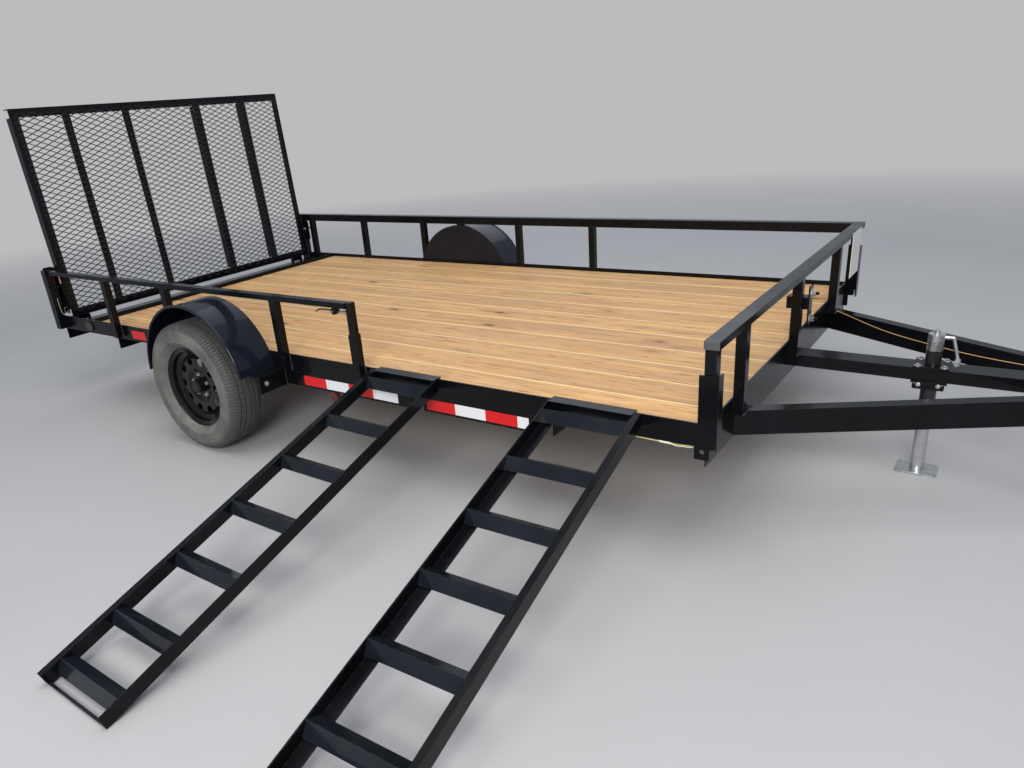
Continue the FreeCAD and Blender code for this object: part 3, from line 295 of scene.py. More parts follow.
def pine(name):
    """Treated pine boards: each board its own cut, with flame grain, knots and a pale painted highlight along
    each board's rounded long edges.
    """
    f = Finish(name, Roughness=0.62, Specular_IOR_Level=0.35)
    xyz = f.node("ShaderNodeSeparateXYZ", Vector=f.place).outputs
    pitch = BOARD_PITCH / 1000.0
    along = f.math("DIVIDE", f.math("ADD", xyz["Y"], DECK_EDGE / 1000.0), pitch)
    index = f.math("FLOOR", along)
    across = f.math("MULTIPLY", f.math("SUBTRACT", along, index), pitch)
    board = f.node("ShaderNodeTexWhiteNoise", {"noise_dimensions": "1D"}, W=index).outputs
    pick = f.node("ShaderNodeSeparateXYZ", Vector=board["Color"]).outputs
    start = f.math("MULTIPLY_ADD", board["Value"], 40.0, xyz["X"])
    heart = f.math("MULTIPLY_ADD", pick["X"], 0.16, 0.012)
    offset = f.math("SUBTRACT", across, heart)
    layer = f.math("ADD", xyz["Z"], f.math("MULTIPLY", index, 3.1))
    cut = f.node("ShaderNodeCombineXYZ", X=start, Y=offset, Z=layer).outputs[0]

    def grain(lengthwise, crosswise, scale, detail, roughness):
        return f.noise(f.stretch(cut, lengthwise, crosswise, crosswise), scale, detail, roughness)

    # Year rings about a heart that wanders below the board, bent round the knots.
    depth = f.math("MULTIPLY_ADD", grain(0.55, 5.0, 2.2, 3.0, 0.5), 0.10, -0.03)
    squares = f.math("ADD", f.math("MULTIPLY", offset, offset), f.math("MULTIPLY", depth, depth))
    radius = f.math("SQRT", squares)
    cell = f.node("ShaderNodeTexVoronoi", {"feature": "F1"}, Vector=f.stretch(cut, 0.8, 2.2, 0.0),
                  Scale=2.9, Randomness=1.0)
    ragged = f.math("MULTIPLY_ADD", grain(9.0, 40.0, 1.5, 3.0, 0.6), 0.10, cell.outputs["Distance"])
    knot = f.span(ragged, 0.155, 0.105)
    halo = f.span(ragged, 0.30, 0.10)
    bend = f.math("ADD", grain(2.0, 30.0, 1.6, 2.0, 0.5), f.math("MULTIPLY", halo, 1.6))
    phase = f.math("MULTIPLY_ADD", bend, 5.0, f.math("MULTIPLY", radius, 2 * math.pi / YEAR_WIDTH))
    ring = f.span(f.math("SINE", phase), -1.0, 1.0)
    late = f.math("POWER", ring, 3.0)

    fibre = grain(6.0, 260.0, 1.6, 3.0, 0.6)
    stain = f.span(grain(0.8, 6.0, 3.0, 5.0, 0.6), 0.35, 0.7)
    streak = f.span(grain(0.8, 30.0, 1.3, 5.0, 0.7), 0.49, 0.60)
    fleck = f.span(grain(6.0, 80.0, 1.2, 2.0, 0.5), 0.62, 0.68)
    band = f.span(grain(0.45, 9.0, 2.0, 3.0, 0.6), 0.46, 0.60)
    # Painted highlight: within a few millimetres of each board's long edges the colour turns pale, as where
    # the rounded edges catch the light.
    half = BOARD_W / 2000.0
    side = f.math("ABSOLUTE", f.math("SUBTRACT", across, half))
    painted_edge_highlight = f.span(side, half - 0.0045, half - 0.0015)
    layers = [(late, 0.5, LATE_WOOD), (stain, 0.45, RESIN), (band, 0.45, GREY_HEART),
              (f.span(fibre, 0.45, 0.8), 0.25, PALE_FIBRE), (streak, 0.40, DARK_STREAK),
              (fleck, 0.65, BARK_FLECK), (halo, 0.60, KNOT_HALO), (knot, 0.9, KNOT_HEART),
              (painted_edge_highlight, 0.8, EDGE_HIGHLIGHT_PAINT)]
    color = f.mix(pick["Y"], PALE_BOARD, DEEP_BOARD)
    for mask, strength, tone in layers:
        color = f.mix(f.math("MULTIPLY", mask, strength), color, tone)
    scuff = f.use(ROAD_DUST, Place=f.place, Amount=0.12)
    f.feed(f.shader, "Base Color", f.mix(scuff["Dust"], color, TRODDEN))
    f.feed(f.shader, "Roughness", f.span(fibre, 0.2, 0.8, 0.5, 0.72))
    height = f.math("MULTIPLY_ADD", late, 0.5, fibre)
    f.feed(f.shader, "Normal", f.bump(height, 0.25, 0.0012))
    return f.material


def rubber(name):
    """Black rubber gone grey with road dust on the wall and in patches, darker on the tread."""
    f = Finish(name, Specular_IOR_Level=0.4)
    blotch = f.use(BLOTCH, Place=f.place, Size=14.0, Fine=700.0)
    film = f.use(ROAD_DUST, Place=f.place, Amount=0.6)
    color = f.mix(blotch["Tone"], (0.055, 0.055, 0.052, 1), (0.105, 0.103, 0.095, 1))
    color = f.mix(film["Dust"], color, (0.42, 0.41, 0.375, 1))
    hub = at(WHEEL_X, 0.0, HUB_Z)
    out = f.node("ShaderNodeVectorMath", {"operation": "SUBTRACT"})
    f.tree.links.new(f.place, out.inputs[0])
    out.inputs[1].default_value = hub
    radial = f.node("ShaderNodeVectorMath", {"operation": "LENGTH"})
    f.tree.links.new(f.stretch(out.outputs["Vector"], 1.0, 0.0, 1.0), radial.inputs[0])
    tread = f.span(radial.outputs["Value"], (TYRE_R - 48.0) / 1000.0, (TYRE_R - 20.0) / 1000.0)
    color = f.mix(f.math("MULTIPLY", tread, 0.85), color, (0.058, 0.058, 0.056, 1))
    f.feed(f.shader, "Base Color", color)
    f.feed(f.shader, "Roughness", f.span(blotch["Tone"], 0.0, 1.0, 0.55, 0.75))
    f.feed(f.shader, "Normal", f.bump(blotch["Grit"], 0.12, 0.0006))
    return f.material


def zinc(name, tone, rough=(0.26, 0.46), black_below=None):
    """Bright zinc plate with faint spangle, drawn streaks, rubbed edges and dull patches.

    Below the height black_below it is black and not metallic.
    """
    f = Finish(name)
    edge = f.use(WORN_EDGE, Place=f.place, Edge_Width=0.001)
    blotch = f.use(BLOTCH, Place=f.place, Size=22.0, Fine=300.0)
    cell = f.node("ShaderNodeTexVoronoi", Vector=f.place, Scale=150.0)
    drawn = f.span(f.noise(f.stretch(f.place, 70.0, 70.0, 1.5), 1.0, 3.0, 0.6), 0.38, 0.62)
    shade = tuple(c * 0.7 for c in tone[:3]) + (1,)
    deep = tuple(c * 0.35 for c in tone[:3]) + (1,)
    color = f.mix(blotch["Tone"], tone, shade)
    color = f.mix(f.math("MULTIPLY", drawn, 0.5), color, deep)
    color = f.mix(f.math("MULTIPLY", edge["Worn"], 0.2), color, (0.86, 0.86, 0.86, 1))
    metal = f.span(blotch["Tone"], 0.0, 1.0, 0.97, 0.85)
    if black_below is not None:
        height = f.node("ShaderNodeSeparateXYZ", Vector=f.place).outputs["Z"]
        low = f.math("LESS_THAN", height, black_below)
        color = f.mix(low, color, (0.012, 0.012, 0.013, 1))
        metal = f.math("MULTIPLY", metal, f.math("SUBTRACT", 1.0, low))
    f.feed(f.shader, "Base Color", color)
    f.feed(f.shader, "Metallic", metal)
    spangle = f.node("ShaderNodeSeparateXYZ", Vector=cell.outputs["Color"]).outputs["X"]
    mixed = f.math("MULTIPLY_ADD", spangle, 0.3, f.math("MULTIPLY", blotch["Grit"], 0.7))
    f.feed(f.shader, "Roughness", f.span(mixed, 0.1, 0.9, *rough))
    f.feed(f.shader, "Normal", f.bump(blotch["Grit"], 0.05, 0.0005, edge["Normal"]))
    return f.material


RIB_WIDTH = 0.006


def lens(name, deep, bright):
    """Moulded lamp lens: ribbed plastic with a painted highlight on each rib's crest, near black on the side
    lamps.
    """
    f = Finish(name, Specular_IOR_Level=0.35, Coat_Weight=0.25, Coat_Roughness=0.05)
    xyz = f.node("ShaderNodeSeparateXYZ", Vector=f.place).outputs
    turn = f.math("MULTIPLY", f.math("ADD", xyz["X"], xyz["Y"]), 2 * math.pi / RIB_WIDTH)
    rib = f.span(f.math("SINE", turn), -1.0, 1.0)
    blotch = f.use(BLOTCH, Place=f.place, Size=30.0, Fine=300.0)
    # Painted highlight: each rib is lighter towards its crest.
    color = f.mix(f.math("MULTIPLY", rib, 0.6), deep, bright)
    color = f.mix(f.math("GREATER_THAN", xyz["X"], SIDE_LAMP_ZONE), color, (0.014, 0.010, 0.010, 1))
    color = f.mix(f.math("GREATER_THAN", xyz["X"], MARKER_ZONE), color, (0.085, 0.014, 0.012, 1))
    f.feed(f.shader, "Base Color", color)
    f.feed(f.shader, "Roughness", f.span(blotch["Tone"], 0.0, 1.0, 0.12, 0.25))
    f.feed(f.shader, "Normal", f.bump(rib, 0.3, 0.001))
    return f.material


def coated(name, tone, shade, roughness):
    """Plain paint, film or plastic sheath with slight blotches and dust."""
    f = Finish(name, Specular_IOR_Level=0.5)
    blotch = f.use(BLOTCH, Place=f.place, Size=16.0, Fine=300.0)
    film = f.use(ROAD_DUST, Place=f.place, Amount=0.1)
    color = f.mix(f.math("MULTIPLY", blotch["Tone"], 0.6), tone, shade)
    f.feed(f.shader, "Base Color", f.mix(film["Dust"], color, (0.3, 0.28, 0.25, 1)))
    f.feed(f.shader, "Roughness", f.span(blotch["Grit"], 0.3, 0.7, roughness - 0.08, roughness + 0.1))
    f.feed(f.shader, "Normal", f.bump(blotch["Grit"], 0.06, 0.0004))
    return f.material


def reflective(name, tone, shade):
    """Prismatic reflective sheet: fine cells under a clear face."""
    f = Finish(name, Specular_IOR_Level=0.3, Coat_Weight=0.15, Coat_Roughness=0.08)
    cell = f.node("ShaderNodeTexVoronoi", {"feature": "DISTANCE_TO_EDGE"}, Vector=f.place, Scale=260.0,
                  Randomness=0.0)
    line = f.span(cell.outputs["Distance"], 0.10, 0.02)
    film = f.use(ROAD_DUST, Place=f.place, Amount=0.1)
    color = f.mix(f.math("MULTIPLY", line, 0.45), tone, shade)
    f.feed(f.shader, "Base Color", f.mix(f.math("MULTIPLY", film["Dust"], 0.4), color, (0.35, 0.33, 0.3, 1)))
    f.feed(f.shader, "Roughness", f.span(line, 0.0, 1.0, 0.22, 0.4))
    f.feed(f.shader, "Normal", f.bump(line, 0.15, 0.0003))
    return f.material


FRAME_TONES = ((0.002, 0.0022, 0.003, 1), (0.004, 0.0045, 0.006, 1))
BLACK = gloss_black("black_frame_paint", *FRAME_TONES, 0.014)
# Frame black, with the front rail caps' painted reflection in grey.
CAP_BLACK_PAINTED_REFLECTION = gloss_black("cap_paint_painted_reflection", *FRAME_TONES, 0.014, reflection_from=CAP_REFLECTION_FROM)
FENDER_BLACK = gloss_black("fender_paint", (0.004, 0.006, 0.012, 1), (0.007, 0.010, 0.018, 1), 0.01,
                           roughness=(0.2, 0.32), peel=0.03, coat=0.35)
WHEEL_BLACK = gloss_black("wheel_paint", (0.004, 0.004, 0.0045, 1), (0.007, 0.007, 0.0075, 1), 0.004,
                          roughness=(0.05, 0.14), peel=0.03, coat=0.3)
# The rungs' black is lighter and bluer than the frame's: partly a painted reflection on the rung faces,
# besides its stronger real clear coat.
RUNG_BLACK_REFLECTION_TINT = gloss_black("rung_paint_reflection_tint", (0.004, 0.0055, 0.008, 1), (0.010, 0.013, 0.019, 1), 0.02,
                         roughness=(0.1, 0.25), peel=0.04, coat=0.3)
MESH_BLACK = gloss_black("mesh_paint", (0.008, 0.008, 0.009, 1), (0.015, 0.015, 0.017, 1), 0.03,
                         roughness=(0.2, 0.4))
WELD_BLACK = gloss_black("weld_paint", (0.016, 0.016, 0.019, 1), (0.034, 0.034, 0.037, 1), 0.04,
                         roughness=(0.08, 0.2), peel=0.3, coat=0.6)
PINE = pine("pine_deck")
RUBBER = rubber("tyre_rubber_dusty")
ZINC = zinc("zinc_bright", (0.74, 0.75, 0.76, 1))
ZINC_PIN = zinc("zinc_pin", (0.70, 0.69, 0.66, 1), (0.2, 0.36))
CHROME = zinc("chrome_nut", (0.78, 0.78, 0.78, 1), (0.08, 0.2))
ZINC_TUBE = zinc("zinc_tube", (0.74, 0.75, 0.76, 1), (0.18, 0.34), LOWER_TUBE_TOP)
LENS_RED = lens("lamp_lens_red", (0.16, 0.012, 0.010, 1), (0.40, 0.03, 0.02, 1))
PANEL_WHITE = coated("panel_white", (0.78, 0.78, 0.77, 1), (0.66, 0.65, 0.62, 1), 0.38)
TAPE_RED = reflective("tape_red", (0.70, 0.010, 0.010, 1), (0.50, 0.008, 0.008, 1))
TAPE_WHITE = reflective("tape_white", (0.82, 0.82, 0.83, 1), (0.62, 0.63, 0.65, 1))
SCREW_TAN = coated("screw_tan", (0.30, 0.19, 0.10, 1), (0.22, 0.13, 0.07, 1), 0.4)
WIRE_ORANGE = coated("wire_orange", (0.60, 0.36, 0.15, 1), (0.45, 0.26, 0.11, 1), 0.45)
WIRE_YELLOW = coated("wire_yellow", (0.72, 0.62, 0.22, 1), (0.52, 0.44, 0.16, 1), 0.45)
WIRE_WHITE = coated("wire_white", (0.70, 0.68, 0.60, 1), (0.55, 0.52, 0.46, 1), 0.45)
WIRE_BLACK = coated("wire_black", (0.02, 0.02, 0.02, 1), (0.035, 0.034, 0.032, 1), 0.5)

NODE_FINISH = {
    "deck_boards": PINE, "fenders": FENDER_BLACK, "front_panel": PANEL_WHITE, "lamps": LENS_RED,
    "rim_left": WHEEL_BLACK, "rim_right": WHEEL_BLACK, "hub_left": WHEEL_BLACK, "hub_right": WHEEL_BLACK,
    "gate_mesh": MESH_BLACK, "ramp_front_rungs": RUNG_BLACK_REFLECTION_TINT, "ramp_rear_rungs": RUNG_BLACK_REFLECTION_TINT,
    "jack_leg": ZINC, "jack_head": ZINC, "jack_tube": ZINC_TUBE, "rail_caps": CAP_BLACK_PAINTED_REFLECTION,
    "coupler": ZINC, "coupler_latch": ZINC,
}


def dress_nodes():
    for name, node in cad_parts.items():
        node.data.materials.clear()
        node.data.materials.append(NODE_FINISH.get(name, BLACK))


dress_nodes()


# Modelling helpers.
def clear_selection():
    active = bpy.context.view_layer.objects.active
    if active is not None and active.mode != "OBJECT":
        bpy.ops.object.mode_set(mode="OBJECT")
    bpy.ops.object.select_all(action="DESELECT")


def take(obj):
    """Makes one piece the only selected and the active one."""
    clear_selection()
    obj.select_set(True)
    bpy.context.view_layer.objects.active = obj


def open_mesh(obj):
    """Edit mode on one piece with nothing selected in it."""
    take(obj)
    bpy.ops.object.mode_set(mode="EDIT")
    bpy.ops.mesh.select_all(action="DESELECT")


def close_mesh():
    bpy.ops.object.mode_set(mode="OBJECT")


def choose(test, kind="FACE"):
    """Selects the open piece's faces, edges or points for which test is true."""
    bpy.ops.mesh.select_mode(type=kind)
    bpy.ops.mesh.select_all(action="DESELECT")
    mesh = bpy.context.view_layer.objects.active.data
    shape = bmesh.from_edit_mesh(mesh)
    parts = {"FACE": shape.faces, "EDGE": shape.edges, "VERT": shape.verts}[kind]
    for part in parts:
        if test(part):
            part.select_set(True)
    shape.select_flush_mode()
    bmesh.update_edit_mesh(mesh)


def fresh_normals():
    bpy.ops.mesh.select_all(action="SELECT")
    bpy.ops.mesh.normals_make_consistent(inside=False)


def settle(obj, name, body, finish, smooth=CRISP):
    """Names a piece, puts its place in its mesh and hangs it on its body."""
    take(obj)
    bpy.ops.object.transform_apply(location=True, rotation=True, scale=True)
    bpy.ops.object.shade_smooth_by_angle(angle=math.radians(smooth))
    obj.name = name
    obj.data.name = name
    if finish is not None:
        obj.data.materials.clear()
        obj.data.materials.append(finish)
    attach(obj, body)


def twin(obj):
    """A copy with its own mesh."""
    made = obj.copy()
    made.data = obj.data.copy()
    bpy.context.scene.collection.objects.link(made)
    return made


def planted(obj, place, direction):
    """Stands a model at its spot, turned along a direction."""
    obj.matrix_world = Matrix.Translation(place) @ direction.to_track_quat("Z", "Y").to_matrix().to_4x4()
    return obj


def united(*objects):
    """Several modelled parts as one piece."""
    clear_selection()
    for obj in objects:
        obj.select_set(True)
    bpy.context.view_layer.objects.active = objects[0]
    bpy.ops.object.transform_apply(location=True, rotation=True, scale=True)
    bpy.ops.object.join()
    return objects[0]


def scatter(model, spots):
    """Copies of a model at each (place, direction) spot as one piece; the model itself goes."""
    made = united(*[planted(twin(model), place, direction) for place, direction in spots])
    bpy.data.objects.remove(model)
    return made


def traced(points):
    """A string of edges through the points, drawn by extruding one corner."""
    clear_selection()
    bpy.ops.mesh.primitive_plane_add(size=0.001, location=points[0])
    obj = bpy.context.view_layer.objects.active
    open_mesh(obj)
    bpy.ops.mesh.select_mode(type="VERT")
    bpy.ops.mesh.select_all(action="SELECT")
    bpy.ops.mesh.merge(type="CENTER")
    for a, b in zip(points, points[1:]):
        step = Vector(b) - Vector(a)
        bpy.ops.mesh.extrude_region_move(TRANSFORM_OT_translate={"value": step})
    return obj


def join_ends(obj):
    """Closes a traced string to a loop, with all of it selected."""
    ends = [v for v in bmesh.from_edit_mesh(obj.data).verts if len(v.link_edges) == 1]
    choose(lambda v: v in ends, "VERT")
    bpy.ops.mesh.edge_face_add()
    bpy.ops.mesh.select_all(action="SELECT")


def lathe(points, centre, steps):
    """Closed profile of (radius, y) pairs turned about the wheel's axis."""
    obj = traced([(centre.x, centre.y + y, centre.z + r) for r, y in points])
    join_ends(obj)
    bpy.ops.mesh.spin(steps=steps, angle=2 * math.pi, center=centre, axis=(0, 1, 0))
    bpy.ops.mesh.select_all(action="SELECT")
    bpy.ops.mesh.remove_doubles(threshold=0.00002)
    fresh_normals()
    return obj


def plate(corners, push, rounding):
    """A plate from its outline in metres, with the corners rounded in its own plane."""
    obj = traced(corners)
    join_ends(obj)
    bpy.ops.mesh.edge_face_add()
    bpy.ops.mesh.select_all(action="SELECT")
    bpy.ops.mesh.bevel(offset=rounding, segments=4, affect="VERTICES")
    bpy.ops.mesh.select_all(action="SELECT")
    bpy.ops.mesh.extrude_region_move(TRANSFORM_OT_translate={"value": push})
    fresh_normals()
    close_mesh()
    return obj


def cylinder(sides, radius, length, middle):
    """An upright cylinder about Z, with its middle at a height."""
    clear_selection()
    bpy.ops.mesh.primitive_cylinder_add(vertices=sides, radius=radius, depth=length, location=(0, 0, middle))
    return bpy.context.view_layer.objects.active


def stick(radius, length, sides=16):
    """A bar from the origin upward with its rims turned off."""
    obj = cylinder(sides, radius, length, length / 2)
    open_mesh(obj)
    choose(lambda edge: abs(edge.verts[0].co.z - edge.verts[1].co.z) < length / 4, "EDGE")
    bpy.ops.mesh.bevel(offset=radius * 0.18, segments=2)
    close_mesh()
    bpy.ops.object.transform_apply(location=True)
    return obj


# Tyres.
GROOVES = (-46.0, -16.0, 16.0, 46.0)
GROOVE_HALF = 4.5
GROOVE_SLOPE = 1.2
GROOVE_DEPTH = 8.0
RIB_LINES = (0.0, 31.0, -31.0, 62.0, -62.0, 73.0, -73.0)
CROWN_FLAT = 41.0
CROWN_DROP = 1.2
TREAD_EDGE = 74.8
EDGE_DROP = 4.8
TREAD_STEPS = 360
TREAD_DEEPEST = 25.0
SHOULDER = 62.0
NOTCH_EVERY = 3
SLIT_EVERY = 6
SLIT_BAND = (20.5, 41.5)
CUT_DEPTH = 0.0045

# Wall and inside, each from the bead outwards: mm beyond the bead's radius, share of the half width.
WALL = ((0.0, 0.57), (10.0, 0.60), (16.0, 0.655), (20.0, 0.68), (23.0, 0.715), (30.0, 0.80),
        (42.0, 0.925), (52.0, 0.968), (54.0, 0.985), (58.0, 0.985), (60.0, 0.978), (70.0, 0.985),
        (84.0, 0.972), (96.0, 0.955), (98.0, 0.968), (102.0, 0.965), (104.0, 0.94), (116.2, 0.915),
        (128.2, 0.855), (135.7, 0.79))
INSIDE = ((0.0, 0.47), (30.0, 0.60), (124.2, 0.45))


def crown(y):
    """Height of the tread above the axle at a distance from the tyre's middle."""
    across = abs(y)
    if across <= CROWN_FLAT:
        return TYRE_R - CROWN_DROP * (across / CROWN_FLAT) ** 2
    share = (across - CROWN_FLAT) / (TREAD_EDGE - CROWN_FLAT)
    return TYRE_R - CROWN_DROP - EDGE_DROP * share ** 1.6


def tyre_profile():
    """Tread with four grooves, ribbed wall and bead, as (radius, y) pairs from one side to the other."""
    tread = [(crown(y), y) for y in RIB_LINES]
    foot = GROOVE_HALF - GROOVE_SLOPE
    for groove in GROOVES:
        edge = crown(groove)
        tread += [(edge, groove - GROOVE_HALF), (edge - GROOVE_DEPTH, groove - foot),
                  (edge - GROOVE_DEPTH, groove + foot), (edge, groove + GROOVE_HALF)]
    tread.sort(key=lambda pair: pair[1])
    wall = [(BEAD_R + rise, share * TYRE_HALF) for rise, share in WALL]
    inside = [(BEAD_R + rise, share * TYRE_HALF) for rise, share in INSIDE]
    outline = [(r, -y) for r, y in wall] + tread + [(r, y) for r, y in reversed(wall)]
    outline += inside + [(r, -y) for r, y in reversed(inside)]
    return [(r / 1000.0, y / 1000.0) for r, y in outline]


def add_tyre(side):
    centre = at(WHEEL_X, side * WHEEL_Y, HUB_Z)
    obj = lathe(tyre_profile(), centre, TREAD_STEPS)

    def in_cut(face):
        """Notches round the shoulders, and short slits in the ribs."""
        spot = obj.location + face.calc_center_median() - centre
        across = abs(spot.y) * 1000.0
        radius = math.hypot(spot.x, spot.z) * 1000.0
        if radius < TYRE_R - TREAD_DEEPEST:
            return False
        step = int(math.floor((math.atan2(spot.z, spot.x) / (2 * math.pi)) * TREAD_STEPS + 0.5))
        if across > SHOULDER:
            return step % NOTCH_EVERY == 0
        outward = face.normal.dot(Vector((spot.x, 0, spot.z)).normalized()) > 0.5
        return outward and SLIT_BAND[0] < across < SLIT_BAND[1] and step % SLIT_EVERY == 1

    choose(in_cut)
    bpy.ops.mesh.extrude_region_shrink_fatten(TRANSFORM_OT_shrink_fatten={"value": -CUT_DEPTH})
    fresh_normals()
    close_mesh()
    settle(obj, f"tyre_{hand(side)}_tread", f"wheel_{hand(side)}", RUBBER, TREAD_ROUND)
    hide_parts(f"tyre_{hand(side)}")


for side in SIDES:
    add_tyre(side)


# Fasteners, latches and small plates.
CORNER_REACH = 0.577


def hex_head(flat, height, washer):
    """Bolt head or nut on its washer, pointing up from the origin, with the corners turned off."""
    head = cylinder(6, flat * CORNER_REACH, height, height / 2 + washer)
    open_mesh(head)
    choose(lambda face: face.normal.z > 0.9)
    bpy.ops.mesh.inset(thickness=flat * 0.09, depth=height * 0.12)
    bpy.ops.mesh.inset(thickness=flat * 0.16, depth=0.0)
    bpy.ops.mesh.inset(thickness=0.0004, depth=height * 0.22)
    close_mesh()
    ring = cylinder(16, flat * 0.95, washer, washer / 2)
    open_mesh(ring)
    choose(lambda edge: all(v.co.z > 0 for v in edge.verts), "EDGE")
    bpy.ops.mesh.bevel(offset=washer * 0.3, segments=1)
    close_mesh()
    return united(head, ring)


def lug_nut():
    """Closed wheel nut with a cone seat and a rounded end."""
    nut = cylinder(6, 0.0118, 0.016, 0.012)
    open_mesh(nut)
    choose(lambda face: face.normal.z > 0.9)
    bpy.ops.mesh.inset(thickness=0.0012, depth=0.0012)
    bpy.ops.mesh.extrude_region_move(TRANSFORM_OT_translate={"value": (0, 0, 0.004)})
    bpy.ops.transform.resize(value=(0.82, 0.82, 1))
    bpy.ops.mesh.extrude_region_move(TRANSFORM_OT_translate={"value": (0, 0, 0.003)})
    bpy.ops.transform.resize(value=(0.55, 0.55, 1))
    choose(lambda face: face.normal.z < -0.9)
    bpy.ops.mesh.extrude_region_move(TRANSFORM_OT_translate={"value": (0, 0, -0.004)})
    bpy.ops.transform.resize(value=(0.8, 0.8, 1))
    close_mesh()
    return nut


LUG_COUNT = 5
LUG_PITCH_R = 57.15
LUG_SEAT = 22.0
LUG_TURN = 0.25


def add_lug_nuts():
    for side in SIDES:
        spots = []
        for k in range(LUG_COUNT):
            angle = 2 * math.pi * (k + LUG_TURN) / LUG_COUNT
            x = WHEEL_X + LUG_PITCH_R * math.cos(angle)
            z = HUB_Z + LUG_PITCH_R * math.sin(angle)
            spots.append((at(x, side * (WHEEL_Y + LUG_SEAT), z), Vector((0, side, 0))))
        nuts = scatter(lug_nut(), spots)
        settle(nuts, f"lug_nuts_{hand(side)}", f"wheel_{hand(side)}", CHROME)


add_lug_nuts()

JACK_PLATE_T = 8.0
JACK_BOLT_DX = 45.0
JACK_BOLT_DY = 46.0
FENDER_BOLT_OUT = 118.0
FENDER_BOLT_FRONT_Z = 398.0
FENDER_BOLT_REAR_Z = 350.0


def jack_bolt_spots():
    """Bolts at the corners of the jack's plates, above and below the beam."""
    spots = []
    for dx in (-JACK_BOLT_DX, JACK_BOLT_DX):
        for dy in (-JACK_BOLT_DY, JACK_BOLT_DY):
            spots.append((at(JACK_X + dx, dy, BEAM_TOP + JACK_PLATE_T), Vector((0, 0, 1))))
            spots.append((at(JACK_X + dx, dy, CENTER_LOW - JACK_PLATE_T), Vector((0, 0, -1))))
    return spots


def fender_bolt_spots():
    """One bolt in the drop face of each fender bracket."""
    low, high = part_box("fender_brackets")
    spots = []
    for side in SIDES:
        y = side * (HALF_W + FENDER_BOLT_OUT) / 1000.0
        spots.append((Vector((high.x, y, at(0, 0, FENDER_BOLT_FRONT_Z).z)), Vector((1, 0, 0))))
        spots.append((Vector((low.x, y, at(0, 0, FENDER_BOLT_REAR_Z).z)), Vector((-1, 0, 0))))
    return spots


for name, spots in (("jack_bolts", jack_bolt_spots()), ("fender_bolts", fender_bolt_spots())):
    bolts = scatter(hex_head(flat=0.014, height=0.006, washer=0.0018), spots)
    settle(bolts, name, "chassis", ZINC_PIN)

STUD_FACE_X = 61.0
STUD_Y = -6.0
STUD_MIDDLE_Z = 660.0
STUD_HALF_SPACING = 54.35


def add_stud_nuts():
    forward = Vector((1, 0, 0))
    spots = [(at(STUD_FACE_X, STUD_Y, STUD_MIDDLE_Z + rise), forward)
             for rise in (-STUD_HALF_SPACING, STUD_HALF_SPACING)]
    nuts = scatter(hex_head(flat=0.021, height=0.014, washer=0.002), spots)
    settle(nuts, "spare_stud_nuts", "chassis", ZINC_PIN)


add_stud_nuts()


def add_jack_flange():
    """Folded edge of the jack's lower plate, towards the near side, with its two small bolts."""
    outline = ((472.0, 398.0), (582.0, 398.0), (582.0, 374.0), (472.0, 374.0))
    flange = plate([at(x, -52.0, z) for x, z in outline], (0, -0.006, 0), 0.006)
    settle(flange, "jack_plate_flange", "chassis", BLACK)
    spots = [(at(x, -60.0, 393.0), Vector((0, -1, 0))) for x in (493.0, 561.0)]
    bolts = scatter(hex_head(flat=0.009, height=0.004, washer=0.001), spots)
    settle(bolts, "jack_flange_bolts", "chassis", ZINC)


add_jack_flange()


def rail_end_latch():
    """Spring latch under the near rail's front end: a round case and its pin."""
    outward = Vector((0, -1, 0))
    forward = Vector((1, 0, 0))
    case = planted(stick(0.0165, 0.028, 24), at(-1653.0, -1046.0, 769.0), outward)
    rim = planted(stick(0.0110, 0.003, 20), at(-1653.0, -1073.5, 769.0), outward)
    settle(united(case, rim), "rail_latch_case", "chassis", BLACK, ROUND)
    pin = planted(stick(0.0055, 0.066), at(-1639.0, -1059.0, 766.0), forward)
    collar = planted(stick(0.0085, 0.012), at(-1604.0, -1059.0, 766.0), forward)
    head = planted(stick(0.0038, 0.004, 12), at(-1653.0, -1075.5, 769.0), outward)
    settle(united(pin, collar, head), "rail_latch_pin", "chassis", ZINC_PIN, ROUND)


rail_end_latch()


def rear_plates():
    """Upright angle behind the right rear post, and the latch plate of the left one with its pin."""
    outline = ((-1075.0, 530.0), (-1018.0, 530.0), (-1018.0, 826.0), (-1075.0, 826.0))
    across = plate([at(-4216.0, y, z) for y, z in outline], (-0.003, 0, 0), 0.012)
    outline = ((-4218.0, 530.0), (-4136.0, 530.0), (-4136.0, 815.0), (-4218.0, 826.0))
    inner = plate([at(x, -1018.0, z) for x, z in outline], (0, -0.004, 0), 0.010)
    settle(united(across, inner), "rear_plate_right", "chassis", BLACK)
    outline = ((-4207.0, 623.0), (-4097.0, 623.0), (-4097.0, 770.0), (-4207.0, 770.0))
    left = plate([at(x, HALF_W, z) for x, z in outline], (0, -0.005, 0), 0.010)
    settle(left, "rear_plate_left", "chassis", BLACK)
    spot = at(-4138.0, 1036.0, 707.0)
    inward = Vector((0, -1, 0))
    pin = united(planted(stick(0.007, 0.018), spot, inward), planted(stick(0.011, 0.007), spot, inward))
    settle(pin, "rear_plate_pin", "chassis", ZINC_PIN, ROUND)


rear_plates()


# Welds, and the feet of the front corners.
BEAD_BLOBS = 9
BEAD_STEP = 0.0042
BEAD_BLOB_R = 0.0034


